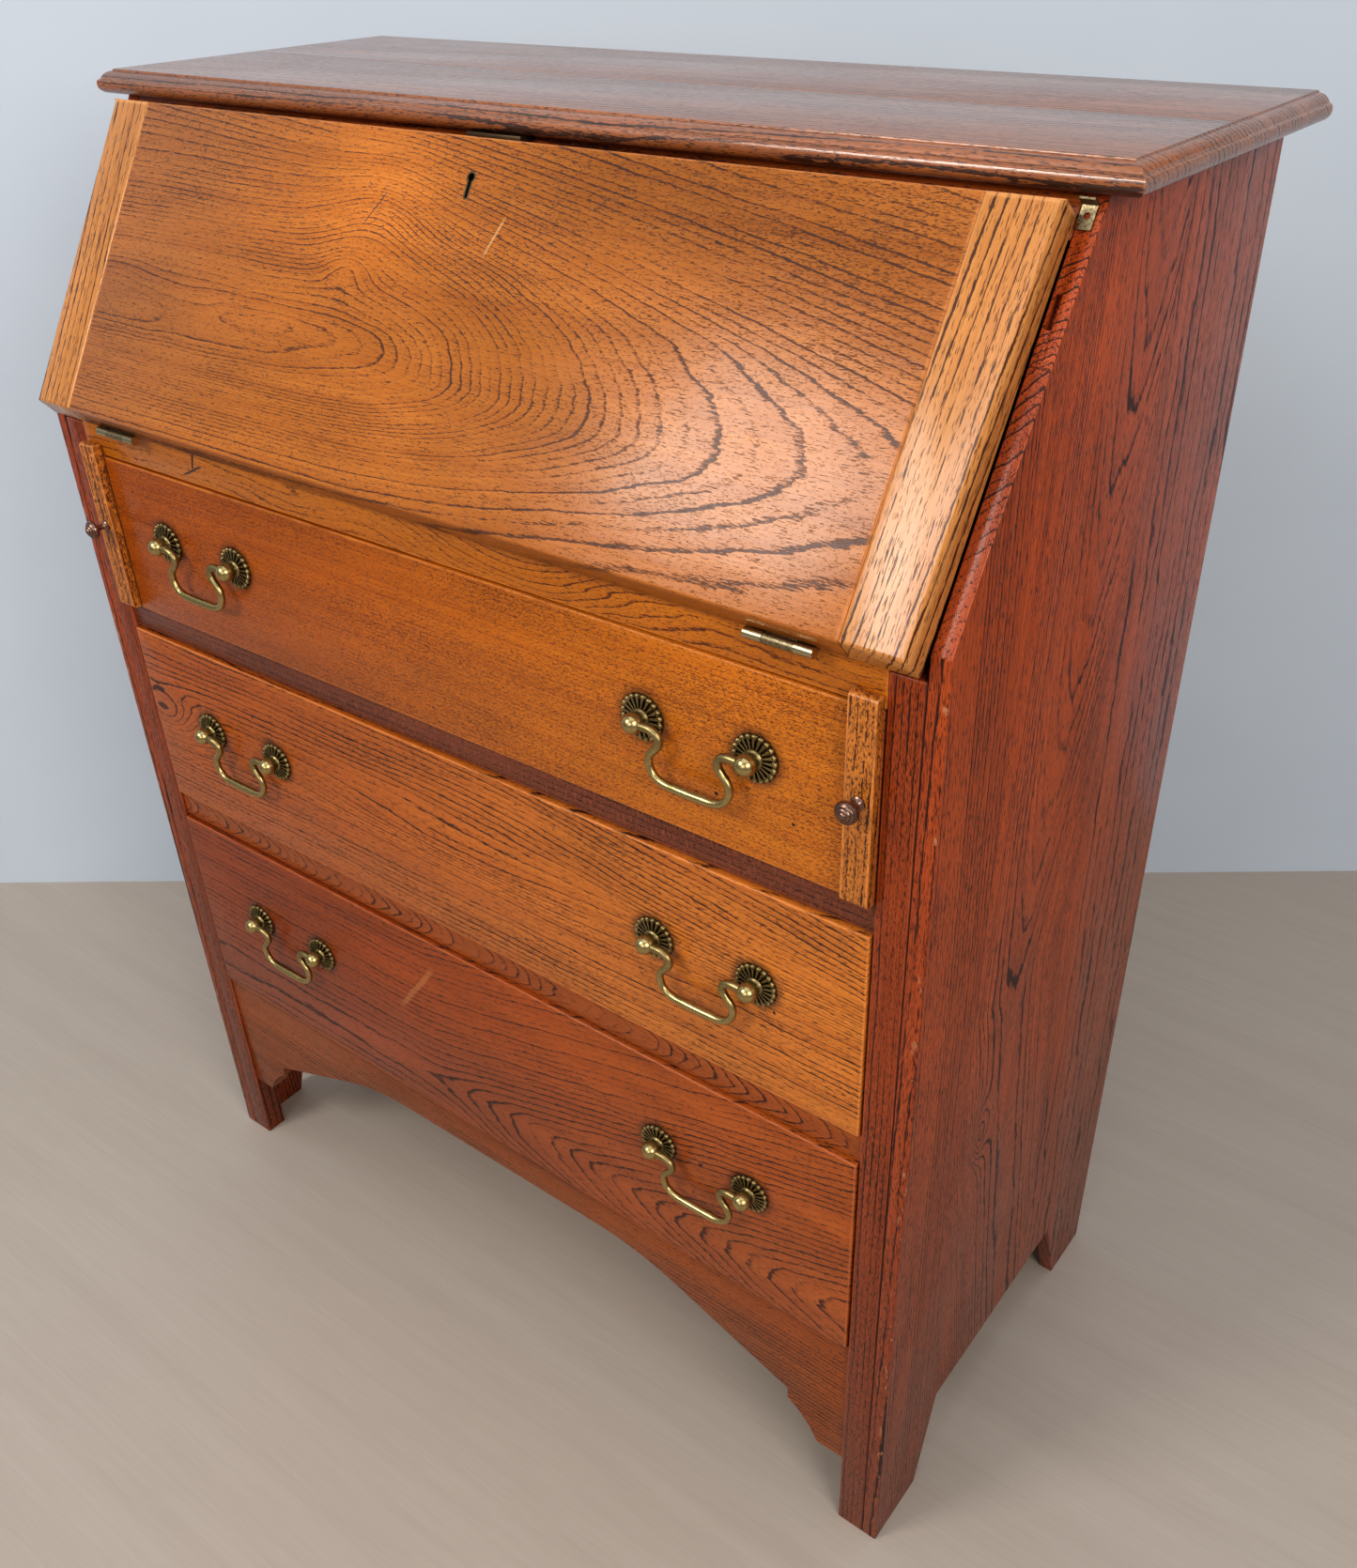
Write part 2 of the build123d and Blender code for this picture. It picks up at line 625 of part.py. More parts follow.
for side, hand in HANDS.items():
    with BuildPart() as bearer:
        block(
            mirrored(LOPER_IN + BEARER_GAP, LOPER_OUT - BEARER_GAP, hand),
            (0, LOPER_LENGTH),
            (top_bearing + BEARER_GAP, HINGE_RAIL_UNDER - 0.5),
        )
    save(bearer, f"loper_bearer_{side}")

    with BuildPart() as loper_front:
        block(mirrored(LOPER_IN, LOPER_OUT, hand), (-LOPER_FRONT, 0), (LOPER_LOW, LOPER_TOP))
        front_edges = loper_front.faces().sort_by(Axis.Y)[0].edges()
        fillet(front_edges.filter_by(Axis.X), FRONT_ROUND)
    save(loper_front, f"loper_front_{side}")

    with BuildPart() as knob:
        foot = (hand * KNOB_X, FRONT_Y - LOPER_FRONT, KNOB_Z)
        with BuildSketch(Plane(origin=foot, x_dir=(1, 0, 0), z_dir=(0, 0, -1))):
            with BuildLine():
                Polyline(*KNOB_OUTLINE)
                ThreePointArc(KNOB_OUTLINE[-1], KNOB_DOME, (KNOB_NOSE, KNOB_LONG))
                Polyline((KNOB_NOSE, KNOB_LONG), (0, KNOB_LONG), (0, 0))
            make_face()
        revolve(axis=Axis(foot, (0, 1, 0)))
    save(knob, f"loper_knob_{side}")

# ---------------------------------------------------------------- drawers
POST_OUT = 10.0  # from the drawer front to the centre of a post's ball
BALL = 6.6
BALL_NOSE = 0.9
ROSETTE = 15.5
ROSETTE_THICK = 1.2
NECK = 4.0
BAIL_RADIUS = 2.5
SOCKET_GAP = 0.1
GRIP_DROP = 33.8  # from the axis of the bail to the middle of its grip
PIVOT_RADIUS = 1.2
NUT = 4.0
NUT_THICK = 3.0
NUT_RECESS = 4.0
LAP = 12.0  # the sides are let this far into the back of the front
SIDE_DROP = 14.0  # from the top edge of a drawer front down to the sides'
BOTTOM_UP = 6.0
BOTTOM_THICK = 7.0


def drawer_box(name, low, high, front_half, half, floor, handle_z, post_x):
    """The wooden pieces of one drawer."""
    face = -FRONT_PROUD
    behind = face + FRONT_THICK
    side_top = high - SIDE_DROP
    bottom_low = floor + BOTTOM_UP
    bottom_high = bottom_low + BOTTOM_THICK
    with BuildPart() as front:
        block((-front_half, front_half), (face, behind), (low, high))
        for hand in HANDS.values():
            side_x = mirrored(half - SIDE_THICK, half, hand)
            block(side_x, (behind - LAP, behind + 1), (low - 1, side_top), Mode.SUBTRACT)
        with Locations(*[Location((x, FRONT_Y + behind, handle_z), (90, 0, 0)) for x in post_x]):
            Cylinder(PIVOT_RADIUS + 0.3, 3 * FRONT_THICK, mode=Mode.SUBTRACT)
            Cylinder(NUT + 1, 2 * NUT_RECESS, mode=Mode.SUBTRACT)
    save(front, f"drawer_{name}_front")

    with BuildPart() as sides:
        for hand in HANDS.values():
            side_x = mirrored(half - SIDE_THICK, half, hand)
            block(side_x, (behind - LAP, BOX_BACK), (floor, side_top))
    save(sides, f"drawer_{name}_sides")

    inner = (SIDE_THICK - half, half - SIDE_THICK)
    with BuildPart() as bottom:
        block(inner, (behind, BOX_BACK), (bottom_low, bottom_high))
    save(bottom, f"drawer_{name}_bottom")

    with BuildPart() as back:
        block(inner, (BOX_BACK - SIDE_THICK, BOX_BACK), (bottom_high, side_top))
    save(back, f"drawer_{name}_back")


def post_outline(height):
    """Half outline of a post: nut, shank through the front, neck and ball with a small flat nose."""
    face = -FRONT_PROUD
    nut_end = face + FRONT_THICK - NUT_RECESS + NUT_THICK
    neck_start = face - ROSETTE_THICK
    ball = face - POST_OUT
    neck_end = ball + (BALL**2 - NECK**2) ** 0.5
    nose = ball - (BALL**2 - BALL_NOSE**2) ** 0.5
    behind_ball = [
        (nose, 0),
        (nut_end, 0),
        (nut_end, NUT),
        (nut_end - NUT_THICK, NUT),
        (nut_end - NUT_THICK, PIVOT_RADIUS),
        (neck_start, PIVOT_RADIUS),
        (neck_start, NECK),
        (neck_end, NECK),
    ]
    Polyline(*[(depth, height + radius) for depth, radius in behind_ball])
    ThreePointArc((neck_end, height + NECK), (ball, height + BALL), (nose, height + BALL_NOSE))
    Line((nose, height + BALL_NOSE), (nose, height))


def drawer_hardware(name, height, post_x):
    """Rosettes and posts of the two handles of one drawer."""
    face = -FRONT_PROUD
    with BuildPart() as rosettes:
        with BuildSketch(facing(face)):
            with Locations(*[(x, height) for x in post_x]):
                Circle(ROSETTE)
                Circle(PIVOT_RADIUS + 0.4, mode=Mode.SUBTRACT)
        extrude(amount=ROSETTE_THICK)
    save(rosettes, f"drawer_{name}_rosettes")

    with BuildPart() as posts:
        for index, x in enumerate(post_x):
            with BuildSketch(across(x)):
                with BuildLine():
                    post_outline(height)
                make_face()
            revolve(axis=Axis((x, FRONT_Y, height), (0, 1, 0)))
            # socket for the end of the bail
            inward = 1 if index % 2 == 0 else -1
            socket = Location((x, FRONT_Y + face - POST_OUT, height), (0, 90 * inward, 0))
            with Locations(socket):
                forward = (Align.CENTER, Align.CENTER, Align.MIN)
                Cylinder(BAIL_RADIUS + SOCKET_GAP, BALL + 1, align=forward, mode=Mode.SUBTRACT)
    save(posts, f"drawer_{name}_posts")


def bail(middle, height):
    """Swinging bail that hangs from two posts: in from each ball, a curl, and the drop to the grip."""
    start = POST_HALF - 0.5
    half_path = [
        (start, 0),
        (POST_HALF - 19.8, 0),
        (POST_HALF - 19.5, -8),
        (POST_HALF - 10, -20),
        (POST_HALF - 13, -GRIP_DROP),
    ]
    corners = [(middle - x, height + z) for x, z in half_path]
    corners += [(middle + x, height + z) for x, z in reversed(half_path)]
    bends = [4.5, 6, 9, 8]
    with BuildPart() as bent:
        with BuildLine(facing(-FRONT_PROUD - POST_OUT)) as path:
            FilletPolyline(*corners, radius=bends + bends[::-1])
        with BuildSketch(path.line ^ 0):
            Circle(BAIL_RADIUS)
        sweep(path=path.line)
    return bent


for name, (low, high, front_half, half, floor, handle_z, handle_x) in DRAWERS.items():
    posts_x = [sign * handle_x + end * POST_HALF for sign in (-1, 1) for end in (-1, 1)]
    drawer_box(name, low, high, front_half, half, floor, handle_z, posts_x)
    drawer_hardware(name, handle_z, posts_x)
    for side, hand in HANDS.items():
        save(bail(hand * handle_x, handle_z), f"drawer_{name}_bail_{side}")
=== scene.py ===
import json
import random
from math import cos, pi, radians, sin

import bmesh
import bpy
from mathutils import Matrix, Vector

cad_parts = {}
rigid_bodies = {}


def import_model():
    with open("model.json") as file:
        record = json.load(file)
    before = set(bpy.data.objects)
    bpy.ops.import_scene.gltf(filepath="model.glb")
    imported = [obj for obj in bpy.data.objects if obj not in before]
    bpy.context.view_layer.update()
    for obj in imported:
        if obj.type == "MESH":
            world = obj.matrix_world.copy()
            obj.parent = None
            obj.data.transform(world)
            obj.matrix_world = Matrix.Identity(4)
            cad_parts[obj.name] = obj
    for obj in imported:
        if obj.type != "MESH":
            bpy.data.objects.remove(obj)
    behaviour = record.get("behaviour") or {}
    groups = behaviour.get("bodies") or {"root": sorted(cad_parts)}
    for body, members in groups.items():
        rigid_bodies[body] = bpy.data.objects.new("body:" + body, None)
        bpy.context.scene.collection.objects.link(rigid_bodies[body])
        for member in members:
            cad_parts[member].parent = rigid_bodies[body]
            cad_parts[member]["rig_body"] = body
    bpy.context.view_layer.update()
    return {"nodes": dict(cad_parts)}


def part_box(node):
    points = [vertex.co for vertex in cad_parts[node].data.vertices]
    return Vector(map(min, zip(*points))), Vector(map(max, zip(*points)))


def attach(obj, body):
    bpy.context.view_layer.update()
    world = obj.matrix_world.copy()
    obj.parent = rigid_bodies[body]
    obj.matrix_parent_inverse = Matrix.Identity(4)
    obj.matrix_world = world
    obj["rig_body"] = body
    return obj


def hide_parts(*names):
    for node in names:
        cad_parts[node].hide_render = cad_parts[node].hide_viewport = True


# The looks of a slope-front oak secretary desk: its boards with eased edges and their own grain,
# its pierced brass handles, the lopers' knobs, the hinges and the lock, in a plain studio.
# Metres, in the row's frame: +X right, +Y back, +Z up. Shader lengths are in millimetres.

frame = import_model()
random.seed(7)
MM = 0.001

# ---------------------------------------------------------------- places worked out from the frame
side_low, side_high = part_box("side_panel_right")
WIDTH = 2 * side_high.x  # over the side panels; also the unit of the figures of the wood
FRONT = side_low.y  # front edges of the side panels
SLOPE = radians(32.4)  # of the fall, from the vertical
UP_SLOPE = Vector((0, sin(SLOPE), cos(SLOPE)))
OUT_OF_SLOPE = Vector((0, -cos(SLOPE), sin(SLOPE)))
SLOPE_START = Vector((0, FRONT, 0.7623))  # where the front edges turn back, inside the fall
FALL_THICK = 17.5  # mm
FALL_PANEL_HALF = 326.5  # half of the length of the panel between the clamps, mm
CLAMP_HALF = 20.25
FALL_MIDDLE_UP = 101.6  # mm up the slope
STILE_HALF = 10.75
POST_SPAN = 80 * MM  # between the two posts of a handle
X, Y, Z = Vector((1, 0, 0)), Vector((0, 1, 0)), Vector((0, 0, 1))
DRAWERS = ("top", "middle", "bottom")
NODE_BODY = {n: o["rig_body"] for n, o in frame["nodes"].items()}


# ---------------------------------------------------------------- arithmetic on shader values
class Num:
    """A value in a shader tree that Python's operators work on."""

    def __init__(self, tree, socket):
        self.tree = tree
        self.socket = socket

    def math(self, operation, *others):
        node = self.tree.nodes.new("ShaderNodeMath")
        node.operation = operation
        for entry, value in zip(node.inputs, (self, *others)):
            feed(self.tree, entry, value)
        return Num(self.tree, node.outputs[0])

    def __add__(self, other):
        return self.math("ADD", other)

    def __sub__(self, other):
        return self.math("SUBTRACT", other)

    def __rsub__(self, other):
        return self * -1 + other

    def __mul__(self, other):
        return self.math("MULTIPLY", other)

    def __neg__(self):
        return self * -1

    def squared(self):
        return self * self

    def size(self):
        return self.math("ABSOLUTE")

    def exp(self):
        return self.math("EXPONENT")

    def root(self):
        return self.math("SQRT")

    def fraction(self):
        return self.math("FRACT")

    def whole(self):
        return self.math("FLOOR")

    def least(self, other):
        return self.math("MINIMUM", other)

    def most(self, other):
        return self.math("MAXIMUM", other)

    def above(self, soft, centre=0.0):
        """0 far below the centre, and the distance from it far above, with a soft turn."""
        lifted = self - centre
        return (lifted + (lifted.squared() + soft * soft).root()) * 0.5

    def step(self, low, high):
        """Smooth step from 0 at low to 1 at high."""
        node = self.tree.nodes.new("ShaderNodeMapRange")
        node.interpolation_type = "SMOOTHSTEP"
        feed(self.tree, node.inputs["Value"], self)
        node.inputs["From Min"].default_value = min(low, high)
        node.inputs["From Max"].default_value = max(low, high)
        node.inputs["To Min"].default_value = 0.0 if low < high else 1.0
        node.inputs["To Max"].default_value = 1.0 if low < high else 0.0
        return Num(self.tree, node.outputs["Result"])


def feed(tree, entry, value):
    """Links a value into a socket, or sets the socket to a number."""
    if isinstance(value, Num):
        tree.links.new(value.socket, entry)
    elif isinstance(value, bpy.types.NodeSocket):
        tree.links.new(value, entry)
    else:
        entry.default_value = value


class Board:
    """Coordinates inside a piece of wood, in millimetres: u along the grain, v across the face,
    w out of the face, all from the origin, and s and t the same as u and v in desk widths."""

    def __init__(self, tree, origin, grain, face, seed=0):
        self.tree = tree
        self.seed = seed
        place = tree.nodes.new("ShaderNodeTexCoord").outputs["Object"]
        moved = tree.nodes.new("ShaderNodeVectorMath")
        moved.operation = "SUBTRACT"
        feed(tree, moved.inputs[0], place)
        moved.inputs[1].default_value = origin
        across = face.cross(grain)
        self.u, self.v, self.w = (self.along(moved.outputs[0], d) for d in (grain, across, face))
        self.s = self.u * (MM / WIDTH)
        self.t = self.v * (MM / WIDTH)

    def along(self, place, direction):
        dot = self.tree.nodes.new("ShaderNodeVectorMath")
        dot.operation = "DOT_PRODUCT"
        feed(self.tree, dot.inputs[0], place)
        dot.inputs[1].default_value = direction
        return Num(self.tree, dot.outputs["Value"]) * (1 / MM)

    def vector(self, lengths):
        """The place divided by a length along each of u, v and w."""
        node = self.tree.nodes.new("ShaderNodeCombineXYZ")
        for entry, value, length in zip(node.inputs, (self.u, self.v, self.w), lengths):
            feed(self.tree, entry, value * (1 / length) + self.seed * 7.31)
        return node.outputs[0]

    def noise(self, lengths, detail=2.0, rough=0.5):
        """Noise about 0, its features as long as lengths along u, v and w."""
        node = self.tree.nodes.new("ShaderNodeTexNoise")
        feed(self.tree, node.inputs["Vector"], self.vector(lengths))
        node.inputs["Scale"].default_value = 1.0
        node.inputs["Detail"].default_value = detail
        node.inputs["Roughness"].default_value = rough
        return Num(self.tree, node.outputs["Fac"]) - 0.5

    def cloudy(self):
        return self.noise((200, 40, 40), 2.0)

    def chance(self, whole):
        """A random value about 0 for each whole number."""
        node = self.tree.nodes.new("ShaderNodeTexWhiteNoise")
        node.noise_dimensions = "1D"
        feed(self.tree, node.inputs["W"], whole + self.seed * 13)
        return Num(self.tree, node.outputs["Value"]) - 0.5

    def bump(self, s, t, half_s, half_t):
        """A hill of height 1 at a place on the face, in desk widths."""
        far = ((self.s - s) * (1 / half_s)).squared() + ((self.t - t) * (1 / half_t)).squared()
        return (-far).exp()

    def distance(self, s, t):
        """Millimetres from a place on the face that is given in desk widths."""
        scale = WIDTH / MM
        return (((self.s - s) * scale).squared() + ((self.t - t) * scale).squared()).root()


def mix_colour(tree, amount, first, second, blend="MIX"):
    node = tree.nodes.new("ShaderNodeMix")
    node.data_type = "RGBA"
    node.blend_type = blend
    node.clamp_factor = True
    feed(tree, node.inputs["Factor"], amount)
    for entry, value in ((node.inputs["A"], first), (node.inputs["B"], second)):
        feed(tree, entry, (*value, 1.0) if isinstance(value, tuple) else value)
    return node.outputs["Result"]


def new_material(name):
    material = bpy.data.materials.new(name)
    material.use_nodes = True
    tree = material.node_tree
    tree.nodes.clear()
    shader = tree.nodes.new("ShaderNodeBsdfPrincipled")
    out = tree.nodes.new("ShaderNodeOutputMaterial")
    tree.links.new(shader.outputs[0], out.inputs["Surface"])
    return material, tree, shader


def relief(tree, shader, height, depth):
    """Raises the surface by the height times a depth in metres."""
    node = tree.nodes.new("ShaderNodeBump")
    node.inputs["Strength"].default_value = 1.0
    node.inputs["Distance"].default_value = depth
    feed(tree, node.inputs["Height"], height)
    tree.links.new(node.outputs[0], shader.inputs["Normal"])


# ---------------------------------------------------------------- oak
GOLD = ((0.45, 0.150, 0.022), (0.28, 0.074, 0.009), (0.070, 0.020, 0.007))
CLAMP = ((0.55, 0.240, 0.070), (0.40, 0.138, 0.032), (0.060, 0.018, 0.006))
LOPER = ((0.60, 0.210, 0.036), (0.26, 0.060, 0.008), (0.040, 0.010, 0.004))
ORANGE = ((0.50, 0.158, 0.010), (0.34, 0.086, 0.005), (0.085, 0.018, 0.004))
GOLD_BROWN = ((0.54, 0.180, 0.026), (0.31, 0.076, 0.009), (0.035, 0.008, 0.003))
BROWN = ((0.34, 0.082, 0.012), (0.21, 0.042, 0.006), (0.035, 0.008, 0.003))
RED = ((0.33, 0.060, 0.011), (0.17, 0.024, 0.004), (0.022, 0.004, 0.002))
DARK = ((0.21, 0.056, 0.024), (0.085, 0.018, 0.008), (0.02, 0.005, 0.003))
GREYED = ((0.34, 0.115, 0.036), (0.22, 0.064, 0.020), (0.035, 0.011, 0.006))
PALE = ((0.62, 0.36, 0.17), (0.46, 0.24, 0.10), (0.20, 0.09, 0.035))


def oak(
    name,
    origin,
    grain,
    face,
    rings,
    tones,
    seed=0,
    contrast=1.0,
    shade=None,
    half=None,
    middle_at=(0, 0, 0),
    wear=0.6,
    gloss=0.3,
    speckle=0.6,
    dash=(5.0, 0.62),
    varnish=0.14,
    redden=None,
    rays=None,
    marks=(),
):
    """Ring-porous oak under an old varnish. rings is a function of the board that counts the growth
    rings; tones are the late wood, the early wood and the pores; half are the half sizes along u, v
    and w from the origin, where the arrises are worn; rays are the strength of the ray flecks and
    their lengths along u and v."""
    material, tree, shader = new_material(name)
    board = Board(tree, origin, grain, face, seed)
    light, middle, dark = tones
    waver = board.noise((150, 14, 14), 2.0) * 0.9 + board.noise((9, 2.2, 2.2), 3.0, 0.6) * 0.34
    count = rings(board) + waver
    phase = count.fraction()
    ring = board.chance(count.whole())
    # the early wood starts sharply and ends softly; its pores are the dark dashes of oak
    line = phase.step(0.0, 0.05) * phase.step(0.30, 0.09)
    late = phase.step(0.3, 0.95)
    long, thick = dash
    vessels = board.noise((long, thick, thick), 2.0, 0.6)
    dot = board.noise((0.5 * long, 0.8 * thick, 0.8 * thick), 1.0)
    dense = speckle(board) if callable(speckle) else speckle
    patch = board.noise((120, 30, 30), 2.0)
    bold = (patch * 1.8 + ring * 0.7 + 0.45).most(0.12).least(1.2) * contrast
    pores = (vessels + line * 0.35 * bold).step(0.12, 0.20)
    specks = (dot + patch * 0.22 + line * 0.06 + dense * 0.07).step(0.17, 0.24) * 0.80
    fibre = board.noise((60, 1.0, 1.0), 3.0, 0.6)
    streak = board.noise((320, 12, 12), 2.0)
    cloud = board.noise((130, 60, 60), 2.0)

    tone = fibre * 1.3 + streak * 0.9 + line * 0.35 * bold - late * 0.12 + ring * 0.22 + 0.36
    colour = mix_colour(tree, tone, light, middle)
    dark_share = (pores.most(specks) * 0.90 + line * bold * 0.26).least(0.96)
    colour = mix_colour(tree, dark_share, colour, dark)
    height = -pores - specks * 0.6 + fibre * 0.3
    if rays:
        strength, long, wide = rays
        fleck = board.noise((long, wide, 3.0), 1.0, 0.4).step(0.08, 0.18)
        colour = mix_colour(tree, fleck * strength, colour, light)
        height = height + fleck * 0.2
    value = cloud * 0.60 + 1.0
    # shade scales the board's tone; on the fall, the drawer fronts and the side panels it also
    # paints light and shade
    if shade:
        value = value * shade(board)
    colour = multiplied(tree, colour, value)
    if redden:
        colour = mix_colour(tree, redden(board), colour, (1.0, 0.70, 0.50), "MULTIPLY")
    uneven = board.noise((30, 30, 30), 3.0)
    rough = (cloud * 0.16 + uneven * 0.12 + pores * 0.14 + gloss).most(0.12)
    if half:
        worn = arris(board, half, middle_at)
        worn = worn * (board.noise((26, 26, 26), 3.0) * 2.2 + wear).most(0.0).least(1.0)
        rubbed = tuple(min(1.0, c * 1.3 + 0.03) for c in light)
        colour = mix_colour(tree, worn * 0.6, colour, rubbed)
        rough = rough + worn * 0.12
    for mark in marks:
        colour, height = mark(board, colour, height)
    feed(tree, shader.inputs["Base Color"], colour)
    feed(tree, shader.inputs["Roughness"], rough)
    shader.inputs["Specular IOR Level"].default_value = 0.16 + varnish
    shader.inputs["Coat Weight"].default_value = varnish
    shader.inputs["Coat Roughness"].default_value = 0.14
    height = height + board.noise((60, 14, 14), 2.0) * 1.2
    relief(tree, shader, height, 0.00015)
    return material


def multiplied(tree, colour, value):
    """The colour with its brightness multiplied by a value."""
    node = tree.nodes.new("ShaderNodeHueSaturation")
    feed(tree, node.inputs["Value"], value)
    feed(tree, node.inputs["Color"], colour)
    return node.outputs[0]


def arris(board, half, middle_at):
    """1 close to an arris of a block of these half sizes, and 0 away from it."""
    places = zip((board.u, board.v, board.w), middle_at, half)
    a, b, c = (half_size - (value - centre).size() for value, centre, half_size in places)
    second = a.least(b).most(a.most(b).least(c))
    ragged = board.noise((8, 3, 3), 2.0) * 1.6
    return (second + ragged).step(1.9, 0.4)


# ---------------------------------------------------------------- marks on the wood
HOLE_DARK = (0.015, 0.007, 0.005)
# dark of the dirt and painted shade round and under the rosettes
DIRT_AND_SHADE_DARK = (0.022, 0.009, 0.005)
SEAM_DARK = (0.03, 0.010, 0.006)
JOINT_DARK = (0.02, 0.006, 0.004)
CRACK_DARK = (0.02, 0.008, 0.004)
CHIP_PALE = (0.44, 0.20, 0.10)
BRUISE_DARK = (0.05, 0.02, 0.01)
SCRATCH_GOLD = (0.62, 0.30, 0.10)
SCRATCH_BROWN = (0.42, 0.16, 0.05)


def hole(s, t, radius):
    """An old screw hole, dark and sunk."""

    def apply(board, colour, height):
        inside = board.distance(s, t).step(radius * 1.15, radius * 0.7)
        return mix_colour(board.tree, inside, colour, HOLE_DARK), height - inside * 5

    return apply


def dirt_and_shade(s, t, radius):
    """Dirt and painted shade on the wood round and under a rosette, dark through its piercings."""

    def apply(board, colour, height):
        ragged = board.distance(s, t) + board.noise((5, 5, 5), 2.0) * 5
        inside = ragged.step(radius * 1.5, radius * 0.75)
        return mix_colour(board.tree, inside * 0.8, colour, DIRT_AND_SHADE_DARK), height

    return apply


def scratch(s0, t0, s1, t1, width, colour_to, strength=0.8):
    """A straight scratch or crack from one place on the face to another."""

    def apply(board, colour, height):
        length = ((s1 - s0) ** 2 + (t1 - t0) ** 2) ** 0.5
        ds, dt = (s1 - s0) / length, (t1 - t0) / length
        waver = board.noise((14, 14, 14), 2.0) * 2.4
        along = (board.s - s0) * ds + (board.t - t0) * dt
        away = ((board.s - s0) * -dt + (board.t - t0) * ds) * (WIDTH / MM) + waver
        inside = away.size().step(width, width * 0.4)
        inside = inside * along.step(0, length * 0.2) * along.step(length, length * 0.8)
        return mix_colour(board.tree, inside * strength, colour, colour_to), height - inside

    return apply


# ---------------------------------------------------------------- figures: growth-ring counts
def straight(pitch, wander=1.0, rise=0.0):
    """Straight grain, with a ring every pitch millimetres."""

    def rings(board):
        sway = board.noise((420, 90, 90), 1.0) * (9 * wander)
        return (board.v + board.w * 0.6 + board.u * rise + sway) * (1 / pitch)

    return rings


def fall_figure(board):
    """Flames that open to the left around a line low on the right, and a knot left of the
    middle."""
    s, t = board.s, board.t
    axis_t = 0.094
    sway = board.noise((150, 60, 60), 2.0) * 0.030
    reach = s.above(0.07)
    above_axis = (t - axis_t).above(0.008).squared() * 14
    below_axis = (axis_t - t).above(0.008).squared() * 36
    flame = reach + above_axis + below_axis + sway + board.w * 0.0006
    count = (flame * -5.6).exp() * 36
    count = count - (t + s * 0.16 - 0.20).above(0.02) * 120
    knot = board.bump(-0.09, 0.215, 0.060, 0.040) * 5.5
    knot = knot + board.bump(-0.11, 0.165, 0.03, 0.016) * 3.5
    island = board.bump(-0.19, 0.112, 0.080, 0.012) * 2.2
    return count + knot + island


def fall_shade(board):
    """Lighter around the knot, and low on the right as a painted highlight; darker at the upper
    right and the left end.
    """
    glow = board.bump(-0.095, 0.21, 0.085, 0.055) * 0.55
    # painted highlight low on the right of the fall
    glow = glow + board.bump(0.33, 0.03, 0.16, 0.06) * 0.12
    dim = board.bump(0.25, 0.27, 0.24, 0.06) * 0.22 + board.bump(-0.45, 0.12, 0.16, 0.30) * 0.18
    return glow - dim + 1.0


def fall_speckle(board):
    """Dense short pores over the upper right, and few in the flames."""
    right = board.bump(0.30, 0.24, 0.34, 0.075) * 1.1
    return right + board.bump(-0.40, 0.25, 0.20, 0.05) * 0.6 + 0.35


def middle_drawer_figure(board):
    """Long lines with a loop at the left end, a lens in the middle and a slant at the upper
    right."""
    s, t = board.s, board.t
    sway = board.noise((130, 30, 30), 2.0) * 1.8
    loop = board.bump(-0.44, 0.003, 0.06, 0.032) * 8
    lens = board.bump(0.02, 0.004, 0.20, 0.030) * 3.2
    slant = s.above(0.06, 0.05) * t.step(-0.02, 0.05) * 20
    return t * 150 + board.w * 0.1 + sway + loop + lens + slant


def bottom_drawer_figure(board):
    """Nested arrowheads that point left, low on the right half, between long lines."""
    s, t = board.s, board.t + 0.077
    sway = board.noise((60, 26, 26), 2.0) * 1.0
    arrows = (s + 0.06).above(0.035) * 36
    lines = (t.squared() + 0.0012).root() * 140
    return arrows - lines + sway + board.w * 0.1 + 0.45


def apron_shade(board):
    """A little darker than the drawer fronts, and uneven."""
    return board.cloudy() * 0.25 + 0.86


def lower_rail_figure(board):
    """Short arcs across the rail, 13 mm apart."""
    sway = board.noise((40, 20, 20), 2.0) * 1.8
    return board.u * (1 / 13) + (board.v * (1 / 11)).squared() * 1.5 + sway


def hinge_rail_figure(board):
    """Long lines that swirl up across the rail right of the middle."""
    sway = board.noise((90, 20, 20), 2.0) * 3.0
    swirl = board.bump(0.12, 0.01, 0.10, 0.04) * 7
    swirl = swirl + board.bump(-0.16, -0.01, 0.09, 0.03) * 1.5
    return board.v * (1 / 6.0) + board.w * 0.1 + swirl + sway


SEAMS = (0.10, 0.30)  # joints of a side panel's three boards, from its front edge in desk widths


def past_seams(board):
    """For each seam, 0 in front of it and 1 behind it."""
    return [board.t.step(seam - 0.0005, seam + 0.0005) for seam in SEAMS]


def side_figure(board):
    """Three boards glued side by side; the middle one has arrowheads that point down, over a
    knot."""
    s, t = board.s, board.t
    sway = board.noise((60, 18, 18), 2.0) * 0.022
    axis = (s - 0.62).size() * 0.16 + 0.17
    offset = t - axis
    middle = (s - 0.60 + sway).above(0.03) * 19 - offset.squared() * 1300 + sway * 20
    knot = board.bump(0.465, 0.135, 0.035, 0.018) * 5
    front = t * 185 + s * 1.8 + sway * 22
    back = t * 62 + s * 2 + sway * 60
    in_middle, in_back = past_seams(board)
    lines = front * (1 - in_middle) + (middle + knot) * in_middle * (1 - in_back) + back * in_back
    return lines + board.w * 0.14 + 0.6


def loper_shade(board):
    """Strongly uneven, on the dark side."""
    return board.cloudy() * 0.5 + 0.84


def stile_shade(board):
    """Darker towards the foot; s is 0 at half height."""
    return board.s.step(-0.5, 0.3) * 0.22 + 0.66


